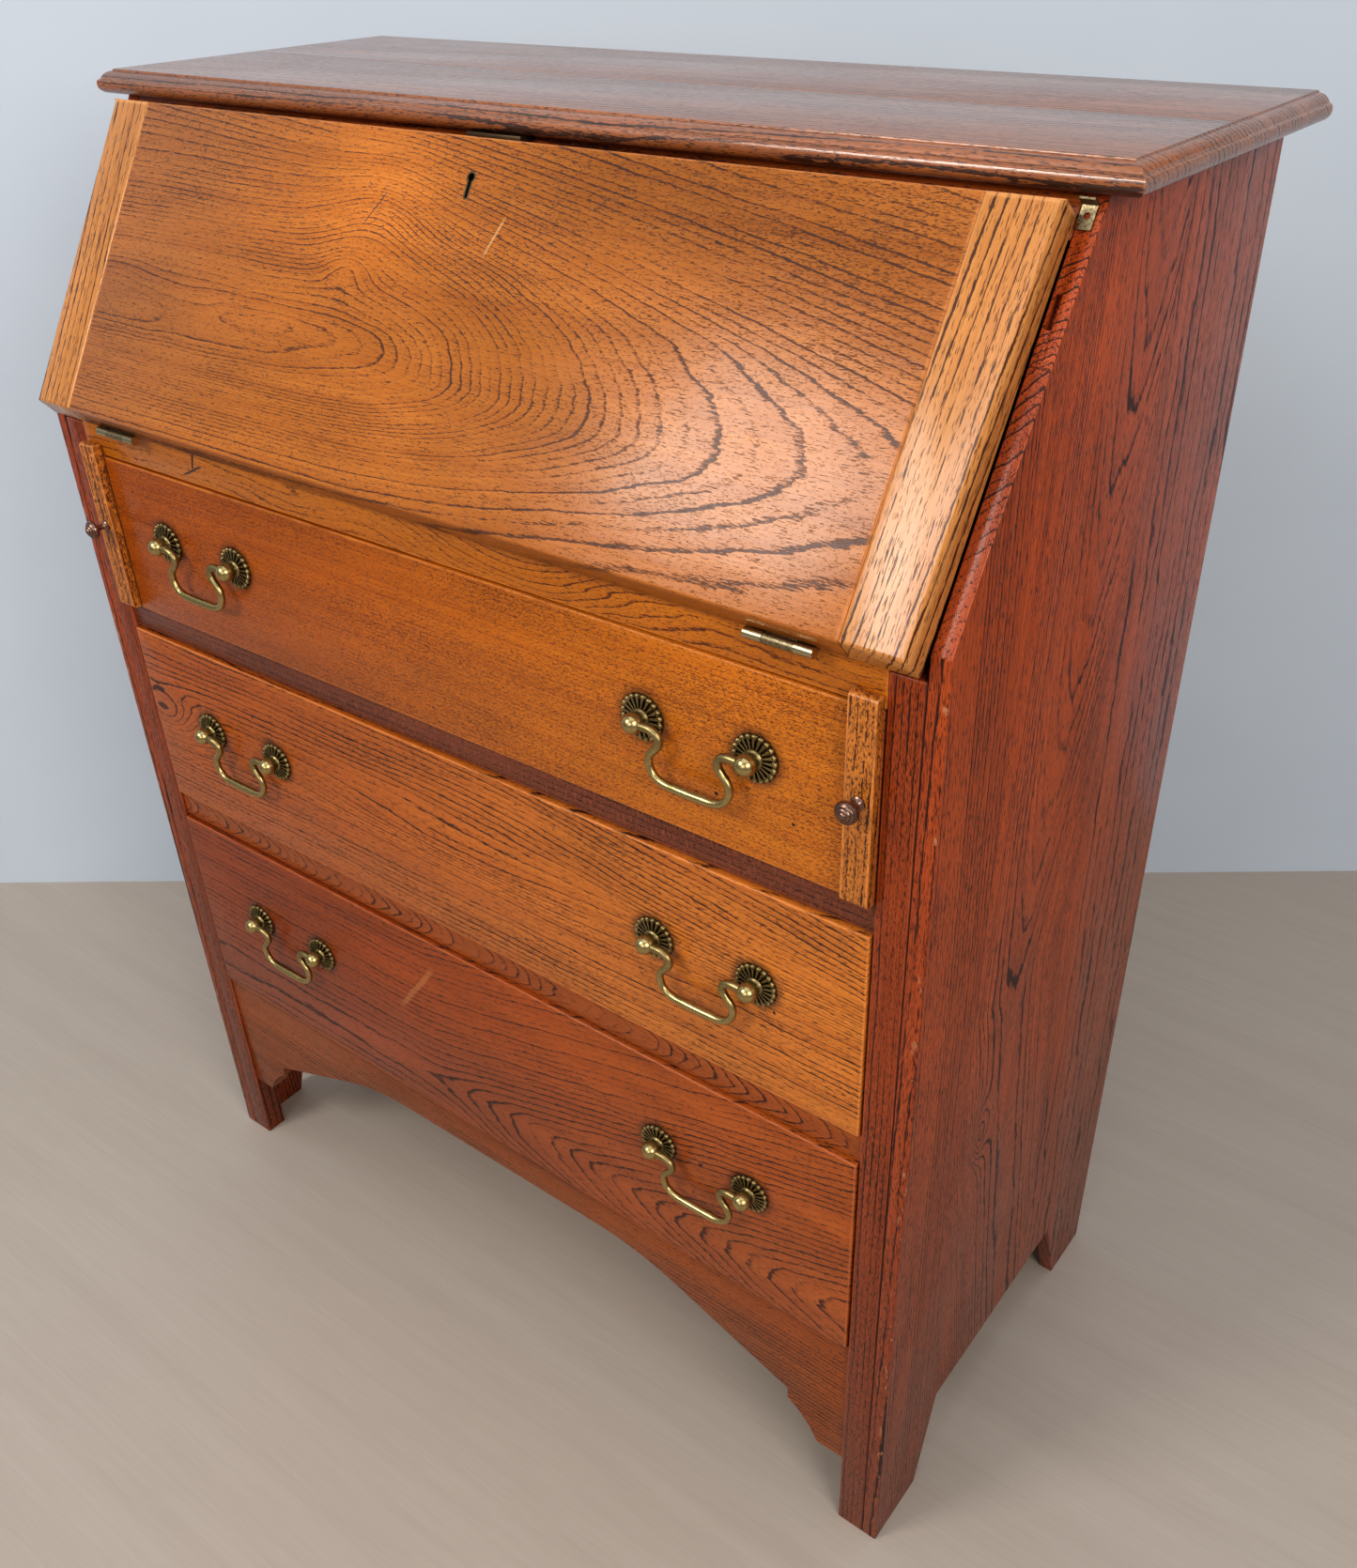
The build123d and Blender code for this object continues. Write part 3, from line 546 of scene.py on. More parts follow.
def side_shade(board):
    """The three boards differ a little and a patch high up is lighter; painted light makes the
    panel lighter towards the top and painted shade darkens the foot.
    """
    in_middle, in_back = past_seams(board)
    boards = in_middle * 0.12 - in_back * 0.05
    patch = board.bump(1.17, 0.185, 0.05, 0.035) * 0.30
    # painted light towards the top of the panel, painted shade at the foot
    return boards + patch + board.s.step(0.0, 0.9) * 0.42 + 0.78


def side_seams(board, colour, height):
    """Fine dark lines where the boards of a side panel meet."""
    for seam in SEAMS:
        line = ((board.t - seam) * (WIDTH / MM)).size().step(0.5, 0.15)
        colour = mix_colour(board.tree, line * 0.5, colour, SEAM_DARK)
    return colour, height


def chips(board, colour, height):
    """Small pale chips along the front arris of a side panel."""
    near = (board.v + board.w.size() * 0.6).step(3.4, 0.6)
    lost = board.noise((14, 5, 5), 3.0, 0.6).step(0.10, 0.16) * near
    return mix_colour(board.tree, lost * 0.8, colour, CHIP_PALE), height - lost


def joint_line(hand):
    """Dark line along the edge of a stile that meets its side panel."""

    def apply(board, colour, height):
        inward = board.v * hand + STILE_HALF
        darkening = (inward + board.noise((40, 2, 2), 2.0) * 0.8).step(1.1, 0.3)
        return mix_colour(board.tree, darkening * 0.85, colour, JOINT_DARK), height - darkening

    return apply


# ---------------------------------------------------------------- metals
def metal(name, worn, dull, cavity, rough):
    """Old brass or bronze: polished where it is touched, and dull and dark in its hollows. The
    meshes carry how polished they are, from 0 to 1."""
    material, tree, shader = new_material(name)
    board = Board(tree, Vector((0, 0, 0)), X, -Y, 3)
    attribute = tree.nodes.new("ShaderNodeAttribute")
    attribute.attribute_name = "polish"
    polish = Num(tree, attribute.outputs["Fac"])
    patches = board.noise((5, 5, 5), 3.0)
    spots = board.noise((1.1, 1.1, 1.1), 3.0)
    shine = (polish + patches * 0.9 + spots * 0.3).least(1.0).most(0.0)
    colour = mix_colour(tree, shine, dull, worn)
    colour = mix_colour(tree, (polish + spots * 0.6).step(0.30, 0.02) * 0.85, colour, cavity)
    feed(tree, shader.inputs["Base Color"], colour)
    dullness = (shine * -0.22 + spots * 0.15 + (rough + 0.2)).most(0.12)
    feed(tree, shader.inputs["Roughness"], dullness)
    shader.inputs["Metallic"].default_value = 1.0
    height = board.noise((1.6, 1.6, 1.6), 2.0) * 0.5 + patches * 0.6
    relief(tree, shader, height, 0.00002)
    return material


# worn, dull and hollow colour, and roughness
AGED = ((0.46, 0.355, 0.155), (0.165, 0.118, 0.052), (0.020, 0.011, 0.007), 0.28)
BRIGHT = ((0.52, 0.44, 0.27), (0.26, 0.20, 0.11), (0.04, 0.028, 0.018), 0.28)
PURPLE_BROWN = ((0.32, 0.20, 0.15), (0.13, 0.07, 0.055), (0.02, 0.012, 0.01), 0.24)
# the lock's brass is made dark as painted shade, where the fall's top edge is in shade
PAINTED_SHADE_BRASS = ((0.17, 0.12, 0.07), (0.08, 0.055, 0.03), (0.02, 0.014, 0.01), 0.34)
BRASS = metal("aged_brass", *AGED)
HINGE_BRASS = metal("hinge_brass", *BRIGHT)
BRONZE = metal("dark_bronze", *PURPLE_BROWN)
LOCK_BRASS_PAINTED_SHADE = metal("lock_brass", *PAINTED_SHADE_BRASS)


# ---------------------------------------------------------------- mesh helpers
SAME_PLACE = 2e-6
FLAT_ANGLE = radians(0.6)
ARRIS_ANGLE = radians(28)
ROUNDED_EDGE = 4.0  # mm


def add_object(name, mesh):
    """A new object in the scene."""
    piece = bpy.data.objects.new(name, mesh)
    bpy.context.scene.collection.objects.link(piece)
    return piece


def finish_piece(piece, node, material):
    """Puts a new piece in place of a CAD node, on its body and with its slot."""
    piece.data.materials.clear()
    piece.data.materials.append(material)
    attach(piece, NODE_BODY[node])
    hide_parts(node)
    return piece


def set_polish(mesh, values):
    attribute = mesh.attributes.new("polish", "FLOAT", "POINT")
    attribute.data.foreach_set("value", values)


def ease(bm, edges, size, segments):
    """Rounds edges by a size in mm."""
    bmesh.ops.bevel(
        bm,
        geom=edges,
        offset=size * MM,
        segments=segments,
        profile=0.5,
        affect="EDGES",
        clamp_overlap=False,
    )


def eased(node, material, edge=0.8, segments=3, shortest=9.0, rounded=None):
    """A copy of a CAD node whose long sharp arrises are rounded; edge and shortest in mm. Edges
    that the test rounded picks get a larger radius."""
    bm = bmesh.new()
    bm.from_mesh(frame["nodes"][node].data)
    bmesh.ops.remove_doubles(bm, verts=bm.verts, dist=SAME_PLACE)
    bmesh.ops.dissolve_limit(bm, angle_limit=FLAT_ANGLE, verts=bm.verts, edges=bm.edges)
    if rounded:
        ease(bm, [e for e in bm.edges if rounded(e)], ROUNDED_EDGE, 6)
    sharp = [
        e
        for e in bm.edges
        if len(e.link_faces) == 2
        and e.calc_face_angle(0) > ARRIS_ANGLE
        and e.calc_length() > shortest * MM
    ]
    ease(bm, sharp, edge, segments)
    mesh = bpy.data.meshes.new(node + "_eased")
    bm.to_mesh(mesh)
    bm.free()
    mesh.shade_smooth()
    mesh.set_sharp_from_angle(angle=radians(35))
    return finish_piece(add_object(node + "_eased", mesh), node, material)


def lathe(profile, segments=40):
    """Vertices and faces of a turned shape about +Z from (radius, height, polish) points."""
    verts, faces, polish = [], [], []
    for radius, height, shine in profile:
        for k in range(segments):
            angle = 2 * pi * k / segments
            verts.append((radius * cos(angle) * MM, radius * sin(angle) * MM, height * MM))
            polish.append(shine)
    for ring in range(len(profile) - 1):
        for k in range(segments):
            a = ring * segments + k
            b = ring * segments + (k + 1) % segments
            faces.append((a, b, b + segments, a + segments))
    faces.append(tuple(range(segments))[::-1])
    faces.append(tuple(range((len(profile) - 1) * segments, len(profile) * segments)))
    return verts, faces, polish


def joined(name, shapes):
    """One mesh from several (verts, faces, polish, matrix) shapes."""
    verts, faces, polish = [], [], []
    for shape_verts, shape_faces, shape_polish, matrix in shapes:
        start = len(verts)
        verts += [matrix @ Vector(v) for v in shape_verts]
        faces += [tuple(start + i for i in f) for f in shape_faces]
        polish += shape_polish
    mesh = bpy.data.meshes.new(name)
    mesh.from_pydata(verts, [], faces)
    mesh.update()
    set_polish(mesh, polish)
    mesh.shade_smooth()
    mesh.set_sharp_from_angle(angle=radians(50))
    return add_object(name, mesh)


def towards_front(x, y, z, turn=0.0):
    """Matrix that stands a turned shape at a place so that its +Z points to the front."""
    turned = Matrix.Rotation(pi / 2, 4, "X") @ Matrix.Rotation(turn, 4, "Z")
    return Matrix.Translation((x, y, z)) @ turned


# ---------------------------------------------------------------- handles
SPOKES = 20
STEPS = 8  # cells of the rosette's mesh per spoke
ROSETTE_RINGS = (2.4, 4.6, 5.8, 6.6, 8.0, 9.6, 11.2, 12.4, 13.2, 13.9, 14.6, 15.1, 15.5)
HUB = 5.8  # radii of the hub, of the two ends of the piercings, and of the beads' middle, in mm
PIERCED = (6.5, 12.3)
RIM = 12.4
BEADS = 14.3


def rosette():
    """A pierced sunburst: rounded spokes from a raised hub to a scalloped rim of beads."""
    count = SPOKES * STEPS
    bore, edge = ROSETTE_RINGS[0], ROSETTE_RINGS[-1]
    verts, faces, polish = [], [], []
    for top in (True, False):
        for radius in ROSETTE_RINGS:
            for k in range(count):
                angle = 2 * pi * k / count
                ridge = abs(cos(SPOKES * angle / 2))
                outward = max(0.0, (radius - RIM) / (edge - RIM))
                reach = radius * (1 - 0.05 * (1 - ridge) * outward)
                spoke = 0.75 * ridge if radius > HUB else 0.4
                bead = 0.7 * ridge * max(0.0, 1 - abs(radius - BEADS) / 1.2)
                dome = 2.9 - 1.6 * ((radius - bore) / (edge - bore)) ** 0.8
                height = dome + spoke + bead
                if radius == edge:
                    height = 0.9
                if not top:
                    height = 0.0 if radius >= RIM else 0.35
                verts.append((reach * cos(angle) * MM, reach * sin(angle) * MM, height * MM))
                shine = 0.10 + 0.26 * ridge**3 + 0.75 * (bead > 0.25) * ridge
                polish.append(shine if top else 0.0)
    lower = len(ROSETTE_RINGS) * count

    def solid(ring, k):
        """Whether the cell between a ring and the next one is metal, not a piercing or outside."""
        if not 0 <= ring < len(ROSETTE_RINGS) - 1:
            return False
        between_spokes = k % STEPS in (2, 3, 4, 5)
        return not (between_spokes and PIERCED[0] < ROSETTE_RINGS[ring] < PIERCED[1])

    for ring in range(len(ROSETTE_RINGS) - 1):
        for k in range(count):
            if not solid(ring, k):
                continue
            a, b = ring * count + k, ring * count + (k + 1) % count
            c, d = b + count, a + count
            faces.append((a, d, c, b))
            faces.append((a + lower, b + lower, c + lower, d + lower))
            if not solid(ring - 1, k):
                faces.append((a, b, b + lower, a + lower))
            if not solid(ring + 1, k):
                faces.append((c, d, d + lower, c + lower))
            if not solid(ring, (k - 1) % count):
                faces.append((d, a, a + lower, d + lower))
            if not solid(ring, (k + 1) % count):
                faces.append((b, c, c + lower, b + lower))
    return verts, faces, polish


# radius, distance from the wood and polish along a post, from the rosette to the ball's nose
POST_PROFILE = [
    (2.3, 0.6, 0.1),
    (5.8, 0.9, 0.2),
    (6.3, 2.4, 0.5),
    (5.8, 3.3, 0.5),
    (4.7, 3.9, 0.12),
    (4.5, 4.6, 0.12),
    (5.2, 5.4, 0.4),
    (6.1, 6.8, 0.55),
    (6.6, 8.4, 0.7),
    (6.7, 10.0, 0.8),
    (6.4, 11.8, 0.9),
    (5.6, 13.5, 0.95),
    (4.3, 15.0, 1.0),
    (2.4, 16.1, 1.0),
    (0.5, 16.5, 1.0),
]
NUT_PROFILE = [
    (4.0, -3.0, 0.3),
    (4.0, 0.0, 0.3),
    (3.6, 0.2, 0.4),
    (1.2, 0.2, 0.3),
    (1.2, 1.0, 0.2),
]
NUT_THICK = 3 * MM

BAIL_RADIUS = 2.2
GRIP_REACH = 24  # the grip is thicker up to this far from its middle
GRIP_DOWN = 30
# centre line of half of a bail: how far in from the ball, and how high
BAIL_LINE = [
    (1.0, 0.0),
    (7.0, 0.3),
    (13.5, 0.0),
    (18.0, -2.6),
    (19.0, -7.4),
    (16.2, -12.0),
    (12.6, -16.2),
    (11.1, -21.0),
    (12.2, -26.2),
    (15.6, -30.8),
    (21.5, -33.3),
    (31.0, -33.9),
]


def bail_mesh(name, centre, half_span, place_y, height):
    """A swinging bail: a bent bar that is thickest at its grip."""
    points = [(-half_span + dx, dz) for dx, dz in BAIL_LINE]
    points += [(half_span - dx, dz) for dx, dz in reversed(BAIL_LINE)]
    curve = bpy.data.curves.new(name, "CURVE")
    curve.dimensions = "3D"
    curve.bevel_depth = BAIL_RADIUS * MM
    curve.bevel_resolution = 6
    curve.resolution_u = 8
    curve.use_fill_caps = True
    spline = curve.splines.new("BEZIER")
    spline.bezier_points.add(len(points) - 1)
    for point, (dx, dz) in zip(spline.bezier_points, points):
        point.co = Vector((centre + dx * MM, place_y, height + dz * MM))
        point.handle_left_type = point.handle_right_type = "AUTO"
        grip = max(0.0, 1 - abs(dx) / GRIP_REACH)
        beside_ball = 6 < half_span - abs(dx) < 15 and dz > -2
        swelling = 0.15 if beside_ball else 0.0
        point.radius = 1.16 + 0.40 * grip**0.7 + swelling
    holder = bpy.data.objects.new(name, curve)
    bpy.context.scene.collection.objects.link(holder)
    bpy.context.view_layer.update()
    evaluated = holder.evaluated_get(bpy.context.evaluated_depsgraph_get())
    mesh = bpy.data.meshes.new_from_object(evaluated)
    bpy.data.objects.remove(holder)
    mesh.name = name
    # the grip is polished by hands
    downward = [min(1.0, (height - v.co.z) / (GRIP_DOWN * MM)) for v in mesh.vertices]
    set_polish(mesh, [0.55 + 0.45 * d for d in downward])
    mesh.shade_smooth()
    return add_object(name, mesh)


def build_handles():
    """Rosettes, posts and bails of the six handles."""
    for drawer in DRAWERS:
        low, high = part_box(f"drawer_{drawer}_rosettes")
        wood = high.y
        z = (low.z + high.z) / 2
        radius = (high.z - low.z) / 2
        outer = high.x - radius
        bail_low, bail_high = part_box(f"drawer_{drawer}_bail_right")
        centre = (bail_low.x + bail_high.x) / 2
        half_span = outer - centre
        ball_y = (bail_low.y + bail_high.y) / 2
        nut_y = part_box(f"drawer_{drawer}_posts")[1].y
        posts_x = [s * centre + e * half_span for s in (-1, 1) for e in (-1, 1)]
        shell = rosette()
        turned = lathe(POST_PROFILE)
        nut = lathe(NUT_PROFILE, 6)
        rosettes = joined(
            f"{drawer}_drawer_rosettes",
            [(*shell, towards_front(x, wood, z, random.uniform(0, 0.3))) for x in posts_x],
        )
        finish_piece(rosettes, f"drawer_{drawer}_rosettes", BRASS)
        post_shapes = [(*turned, towards_front(x, wood, z)) for x in posts_x]
        post_shapes += [(*nut, towards_front(x, nut_y - NUT_THICK, z)) for x in posts_x]
        posts = joined(f"{drawer}_drawer_posts", post_shapes)
        finish_piece(posts, f"drawer_{drawer}_posts", BRASS)
        for side, hand in (("left", -1), ("right", 1)):
            name = f"{drawer}_drawer_bail_{side}"
            bail = bail_mesh(name, hand * centre, half_span / MM, ball_y, z)
            finish_piece(bail, f"drawer_{drawer}_bail_{side}", BRASS)


# the same along a knob, from the end of the loper
KNOB_PROFILE = [
    (4.2, 0.0, 0.3),
    (4.2, 1.0, 0.6),
    (3.2, 1.7, 0.5),
    (2.3, 2.8, 0.6),
    (2.1, 5.0, 0.7),
    (2.3, 8.4, 0.6),
    (5.6, 9.8, 0.2),
    (6.8, 10.4, 0.6),
    (7.0, 11.0, 0.9),
    (7.0, 12.4, 0.9),
    (6.6, 13.2, 0.7),
    (6.1, 13.3, 0.1),
    (5.7, 13.8, 0.5),
    (4.9, 14.6, 0.7),
    (4.4, 14.6, 0.1),
    (3.9, 15.3, 0.6),
    (3.0, 16.0, 0.7),
    (2.5, 15.9, 0.1),
    (2.0, 16.5, 0.7),
    (1.0, 17.0, 0.8),
    (0.2, 17.0, 0.8),
]


def build_knobs():
    for side in ("left", "right"):
        low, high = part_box(f"loper_knob_{side}")
        middle = (low + high) / 2
        knob = joined(
            f"loper_knob_{side}_turned",
            [(*lathe(KNOB_PROFILE), towards_front(middle.x, high.y, middle.z))],
        )
        finish_piece(knob, f"loper_knob_{side}", BRONZE)


# ---------------------------------------------------------------- the wood of each piece
def block_frame(node, grain, face):
    """Centre of a node's box, and its half sizes in mm along the grain, across and out of the
    face."""
    low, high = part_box(node)
    half = (high - low) / 2
    across = face.cross(grain)
    sizes = [abs(half.dot(Vector([abs(c) for c in d]))) / MM for d in (grain, across, face)]
    return (low + high) / 2, sizes


def build_block(node, grain, face, rings, tones, edge=0.8, **looks):
    """A board with square sides, its grain along a row axis."""
    origin, half = block_frame(node, grain, face)
    material = oak(node + "_oak", origin, grain, face, rings, tones, half=half, **looks)
    return eased(node, material, edge)


def outer_front_edge(edge):
    """Whether an edge of a clamp is the outer one on its front, which is rounded more."""
    middle = (edge.verts[0].co + edge.verts[1].co) / 2
    along = (edge.verts[1].co - edge.verts[0].co).normalized()
    out = (middle - SLOPE_START).dot(OUT_OF_SLOPE)
    outermost = abs(middle.x) > (FALL_PANEL_HALF + CLAMP_HALF) * MM
    return abs(along.dot(UP_SLOPE)) > 0.99 and out > FALL_THICK / 2 * MM and outermost


def build_fall():
    fall_half = 112  # mm along the slope
    middle = SLOPE_START + OUT_OF_SLOPE * (FALL_THICK / 2 * MM)
    material = oak(
        "fall_panel_oak",
        SLOPE_START,
        X,
        OUT_OF_SLOPE,
        fall_figure,
        GOLD,
        seed=1,
        shade=fall_shade,
        gloss=0.26,
        speckle=fall_speckle,
        half=(FALL_PANEL_HALF, fall_half, FALL_THICK / 2),
        middle_at=(0, FALL_MIDDLE_UP, FALL_THICK / 2),
        marks=[
            scratch(0.035, 0.19, 0.048, 0.225, 1.2, SCRATCH_GOLD),
            scratch(-0.105, 0.20, -0.085, 0.232, 0.7, BRUISE_DARK),
        ],
    )
    eased("fall_panel", material, 1.2)
    for side, hand, seed, pitch in (("left", -1, 2, 7.0), ("right", 1, 3, 6.0)):
        node = f"fall_clamp_{side}"
        low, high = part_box(node)
        centre = Vector(((low.x + high.x) / 2, 0, 0)) + middle + UP_SLOPE * (100 * MM)
        material = oak(
            node + "_oak",
            centre,
            UP_SLOPE,
            OUT_OF_SLOPE,
            straight(pitch, 1.4, 0.04 * hand),
            CLAMP,
            seed=seed,
            contrast=1.6,
            gloss=0.22,
            dash=(13, 1.0),
            half=(fall_half + 0.5, CLAMP_HALF, FALL_THICK / 2),
            wear=0.9,
        )
        eased(node, material, 1.6, rounded=outer_front_edge)


def drawer_shade(board):
    """Darker towards the left end: painted shade, as the light falls from the right."""
    return board.s.step(-0.45, 0.50) * 0.36 + 0.78


def bottom_drawer_shade(board):
    """As the other fronts, with their painted shade, and with a plain lighter patch left of the
    arrowheads.
    """
    return drawer_shade(board) + board.bump(-0.17, -0.080, 0.075, 0.020) * 0.28


def redder_left(board):
    """How much redder the drawer fronts are, towards their left ends."""
    return board.s.step(0.42, -0.40) * 0.95


def build_drawer_fronts():
    # growth rings, tones, contrast and seed of each front
    looks = {
        "top": (straight(3.2, 0.9, 0.012), ORANGE, 0.35, 4),
        "middle": (middle_drawer_figure, GOLD_BROWN, 1.3, 5),
        "bottom": (bottom_drawer_figure, BROWN, 1.2, 6),
    }
    marks = {
        "top": [hole(0.315, -0.035, 1.3), hole(0.385, -0.036, 1.1)],
        "middle": [hole(-0.345, -0.02, 1.2), hole(0.26, 0.008, 1.1), hole(0.37, -0.012, 1.1)],
        "bottom": [
            scratch(-0.05, 0.09, -0.12, 0.0, 3.2, SCRATCH_BROWN, 0.55),
            hole(0.29, 0.018, 1.6),
            hole(0.14, -0.04, 0.8),
            hole(0.28, -0.025, 0.9),
        ],
    }
    for drawer, (rings, tones, contrast, seed) in looks.items():
        spot_low, spot_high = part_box(f"drawer_{drawer}_rosettes")
        face_low, face_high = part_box(f"drawer_{drawer}_front")
        radius = (spot_high.z - spot_low.z) / 2
        up = ((spot_high.z + spot_low.z) - (face_high.z + face_low.z)) / 2 / WIDTH
        far = (spot_high.x - radius) / WIDTH
        near = far - POST_SPAN / WIDTH
        # dirt and painted shade round and under each rosette
        darkening = [dirt_and_shade(x, up, radius / MM) for x in (-far, -near, near, far)]
        build_block(
            f"drawer_{drawer}_front",
            X,
            -Y,
            rings,
            tones,
            edge=1.0,
            seed=seed,
            contrast=contrast,
            shade=bottom_drawer_shade if drawer == "bottom" else drawer_shade,
            redden=redder_left,
            marks=darkening + marks[drawer],
            wear=0.9,
            speckle=1.6 if drawer == "top" else 0.9,
            dash=(4.0, 0.7) if drawer == "top" else (8.0, 0.8),
        )


FLECKED = {"rays": (1.0, 1.6, 9.0), "contrast": 0.6, "speckle": 1.8}
APRON = {"contrast": 1.3, "speckle": 1.5, "shade": apron_shade}
TOP = {
    "edge": 0.6,
    "gloss": 0.26,
    "varnish": 0.5,
    "contrast": 1.9,
    "speckle": 1.5,
    "dash": (9, 0.9),
}


def build_case():
    """Side panels, stiles, rails, apron, lopers, top and the boards inside."""
    for side, hand, seed in (("left", -1, 8), ("right", 1, 9)):
        low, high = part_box(f"side_panel_{side}")
        outer = Vector((high.x if hand > 0 else low.x, FRONT, 0))
        # v grows to the back on both panels
        material = oak(
            f"side_panel_{side}_oak",
            outer,
            Z,
            X * -1,
            side_figure,
            RED,
            seed=seed,
            shade=side_shade,
            marks=[side_seams, chips],
            contrast=1.7,
            speckle=1.5,
            dash=(12, 0.9),
            gloss=0.34,
        )
        eased(f"side_panel_{side}", material, 1.0)
        build_block(
            f"stile_{side}", Z, -Y, straight(4.2, 0.6), RED, seed=10 + hand, gloss=0.26,
            speckle=1.6, dash=(9, 0.8), contrast=1.3, shade=stile_shade, marks=[joint_line(hand)],
        )
        build_block(
            f"loper_front_{side}", Z, -Y, straight(5.0, 1.6), LOPER, edge=2.0, seed=12 + hand,
            contrast=1.6, wear=1.0, dash=(5, 1.2), rays=(0.95, 4.5, 3.0), speckle=2.0,
            shade=loper_shade,
        )
        build_block(f"loper_bearer_{side}", Y, X, straight(6.0, 1.0), BROWN, seed=14 + hand)
    cracks = [
        scratch(-0.305, -0.012, -0.268, 0.004, 1.1, CRACK_DARK, 0.95),
        scratch(-0.286, -0.004, -0.279, 0.017, 1.5, CRACK_DARK, 0.95),
    ]
    boards = (
        ("hinge_rail", X, -Y, hinge_rail_figure, ORANGE, {"contrast": 0.8, "marks": cracks}),
        ("lower_rail", X, -Y, lower_rail_figure, BROWN, {"contrast": 1.1}),
        ("divider_rail", X, -Y, straight(5.0, 0.6), DARK, FLECKED),
        ("apron", X, -Y, straight(4.6, 1.0), BROWN, APRON),
        ("top_board_front", X, Z, straight(5.5, 2.2), GREYED, TOP),
        ("top_board_back", X, Z, straight(5.5, 2.2), GREYED, TOP),
        ("top_rail", X, -Y, straight(5.0), BROWN, {}),
        ("writing_board", X, Z, straight(6.0, 1.5), ORANGE, {}),
        ("pigeonhole_shelf", X, Z, straight(6.0), ORANGE, {"edge": 0.6}),
        ("pigeonhole_dividers", Y, X, straight(6.0), ORANGE, {"edge": 0.6}),
        ("back_boards", Z, Y, straight(7.0, 2.0), PALE, {"contrast": 0.6, "gloss": 0.55}),
        ("drawer_runners", Y, Z, straight(6.0), PALE, {"contrast": 0.5, "gloss": 0.6}),
        ("loper_guides", Y, X, straight(6.0), PALE, {"contrast": 0.5, "gloss": 0.6}),
    )
    for index, (node, grain, face, rings, tones, looks) in enumerate(boards):
        build_block(node, grain, face, rings, tones, seed=16 + index, **looks)


def build_drawer_boxes():
    for index, drawer in enumerate(DRAWERS):
        seed = 30 + 4 * index
        plain = {"contrast": 0.6, "gloss": 0.55}
        build_block(f"drawer_{drawer}_sides", Y, X, straight(6.0), PALE, seed=seed, **plain)
        build_block(f"drawer_{drawer}_back", X, -Y, straight(6.0), PALE, seed=seed + 1, **plain)
        build_block(f"drawer_{drawer}_bottom", X, Z, straight(8.0), PALE, seed=seed + 2, **plain)


def build_metalwork():
    """Hinges, catch and lock: the CAD shapes with eased edges. The outer knuckles are worn bright
    and rounded more; the middle one and the catch are dark."""
    brass = {
        "hinge_leaves_fixed": 0.85,
        "hinge_leaves_fall": 0.22,
        "hinge_pins": 0.9,
        "hinge_screws_fixed": 0.6,
        "hinge_screws_fall": 0.6,
        "fall_catch": 0.2,
    }
    for node, polish in brass.items():
        edge = 0.35 if node == "hinge_leaves_fixed" else 0.2
        piece = eased(node, HINGE_BRASS, edge, 2, 3.0)
        set_polish(piece.data, [polish] * len(piece.data.vertices))
    # the lock's brass is painted dark as shade
    for node in ("lock_case", "lock_bolt", "lock_strike", "keyhole_liner"):
        piece = eased(node, LOCK_BRASS_PAINTED_SHADE, 0.15, 2, 3.0)
        set_polish(piece.data, [0.6] * len(piece.data.vertices))


# ---------------------------------------------------------------- studio
def floor_material():
    material, tree, shader = new_material("pale_floor")
    board = Board(tree, Vector((0, 0, 0)), X, Z, 40)
    grain = board.noise((500, 24, 24), 3.0, 0.6) * 0.5 + board.noise((60, 2.5, 2.5), 2.0) * 0.35
    colour = mix_colour(tree, grain + 0.5, (0.36, 0.30, 0.25), (0.50, 0.44, 0.38))
    feed(tree, shader.inputs["Base Color"], colour)
    feed(tree, shader.inputs["Roughness"], grain * 0.1 + 0.5)
    return material


def wall_material():
    """Pale paint. The wall shows only its face, so that the desk can be looked at from behind."""
    material, tree, shader = new_material("pale_wall")
    board = Board(tree, Vector((0, 0, 0)), X, -Y, 41)
    uneven = board.noise((300, 300, 300), 3.0)
    colour = mix_colour(tree, uneven + 0.5, (0.50, 0.56, 0.63), (0.58, 0.64, 0.71))
    feed(tree, shader.inputs["Base Color"], colour)
    shader.inputs["Roughness"].default_value = 0.85
    clear = tree.nodes.new("ShaderNodeBsdfTransparent")
    sides = tree.nodes.new("ShaderNodeMixShader")
    geometry = tree.nodes.new("ShaderNodeNewGeometry")
    out = next(n for n in tree.nodes if n.type == "OUTPUT_MATERIAL")
    tree.links.new(geometry.outputs["Backfacing"], sides.inputs["Fac"])
    tree.links.new(shader.outputs[0], sides.inputs[1])
    tree.links.new(clear.outputs[0], sides.inputs[2])
    tree.links.new(sides.outputs[0], out.inputs["Surface"])
    return material


def sheet(name, corners, material):
    mesh = bpy.data.meshes.new(name)
    mesh.from_pydata(corners, [], [(0, 1, 2, 3)])
    mesh.materials.append(material)
    piece = add_object(name, mesh)
    return piece


def area_light(name, place, target, size, power, colour):
    light = bpy.data.lights.new(name, "AREA")
    light.shape = "RECTANGLE"
    light.size, light.size_y = size
    light.energy = power
    light.color = colour
    holder = bpy.data.objects.new(name, light)
    bpy.context.scene.collection.objects.link(holder)
    direction = Vector(target) - Vector(place)
    turn = direction.to_track_quat("-Z", "Y").to_matrix().to_4x4()
    holder.matrix_world = Matrix.Translation(place) @ turn


SHEET_HALF = 7
WALL_HIGH = 4
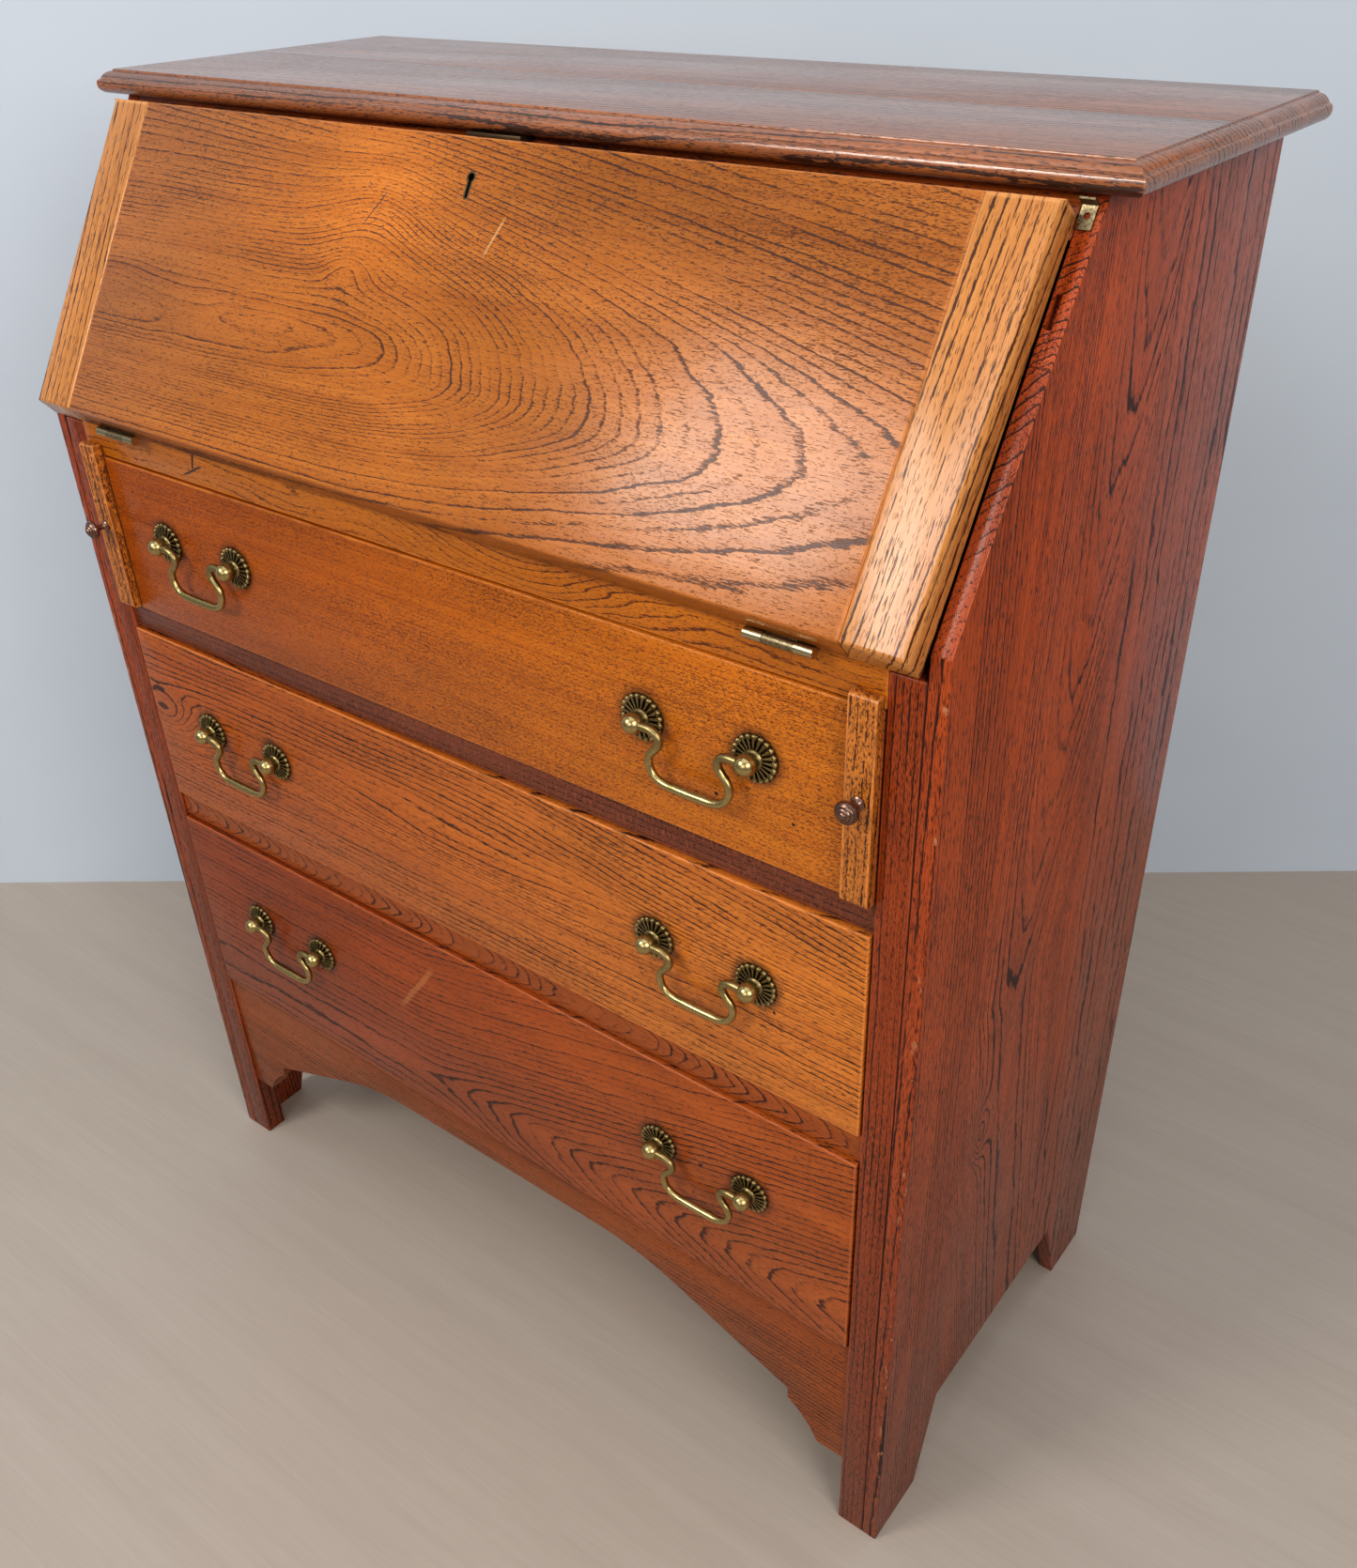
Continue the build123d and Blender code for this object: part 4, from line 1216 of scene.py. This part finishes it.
# name, place, size, power and colour of each light; all point at the middle of the desk
LIGHTS = (
    ("window", (-0.95, -2.25, 2.2), (0.9, 0.8), 32, (1.0, 0.975, 0.93)),
    ("right_fill", (2.3, -1.3, 1.8), (1.2, 1.2), 34, (1.0, 0.94, 0.87)),
    ("front_fill", (0.6, -3.0, 1.6), (1.6, 1.2), 14, (1.0, 0.97, 0.94)),
    ("overhead", (0.4, -0.6, 3.0), (2.4, 2.0), 18, (0.96, 0.98, 1.0)),
)


def build_studio():
    """Floor, wall and lights."""
    corners = [(x * SHEET_HALF, y * SHEET_HALF, 0) for x, y in ((-1, -1), (1, -1), (1, 1), (-1, 1))]
    sheet("floor", corners, floor_material())
    # the wall nearly faces the camera, close behind the desk's left back corner
    ahead = Vector((-sin(CAMERA_AZIMUTH), cos(CAMERA_AZIMUTH), 0))
    beside = Vector((ahead.y, -ahead.x, 0)) - ahead * WALL_TURN
    foot = Vector((CAMERA_PLACE.x, CAMERA_PLACE.y, 0)) + ahead * WALL_AWAY
    left, right = foot - beside * SHEET_HALF, foot + beside * SHEET_HALF
    high = Z * WALL_HIGH
    sheet("wall", [left, right, right + high, left + high], wall_material())
    for name, place, size, power, colour in LIGHTS:
        area_light(name, place, (0, 0, 0.6), size, power, colour)
    world = bpy.data.worlds.new("studio")
    bpy.context.scene.world = world
    world.use_nodes = True
    background = world.node_tree.nodes["Background"]
    background.inputs["Color"].default_value = (0.80, 0.86, 0.95, 1)
    background.inputs["Strength"].default_value = 0.33


CAMERA_AZIMUTH = radians(37.849)
CAMERA_PLACE = Vector((0.65096, FRONT - 0.55044, 1.07969))
WALL_AWAY = 1.474
WALL_TURN = 0.028  # the wall is this much farther at its left, per metre


def build_camera():
    """The viewpoint: to the right of the desk and above it, looking down."""
    azimuth, elevation, roll = CAMERA_AZIMUTH, radians(33.506), radians(-1.451)
    back = Vector((sin(azimuth) * cos(elevation), -cos(azimuth) * cos(elevation), sin(elevation)))
    right = Z.cross(back).normalized()
    up = back.cross(right)
    turned_right = right * cos(roll) + up * sin(roll)
    turned_up = up * cos(roll) - right * sin(roll)
    data = bpy.data.cameras.new("camera")
    data.sensor_fit = "VERTICAL"
    data.sensor_height = 36.0
    data.lens = 32.557
    data.shift_x = -0.0113
    data.shift_y = 0.0161
    data.clip_start = 0.01
    camera = bpy.data.objects.new("camera", data)
    bpy.context.scene.collection.objects.link(camera)
    columns = [turned_right, turned_up, back, CAMERA_PLACE]
    camera.matrix_world = Matrix([[c[i] for c in columns] for i in range(3)] + [[0, 0, 0, 1]])
    bpy.context.scene.camera = camera


build_camera()
build_fall()
build_drawer_fronts()
build_case()
build_drawer_boxes()
build_handles()
build_knobs()
build_metalwork()
build_studio()

scene = bpy.context.scene
scene.view_settings.view_transform = "Standard"
scene.view_settings.look = "Medium High Contrast"
scene.view_settings.exposure = 0.0
scene.cycles.use_denoising = True
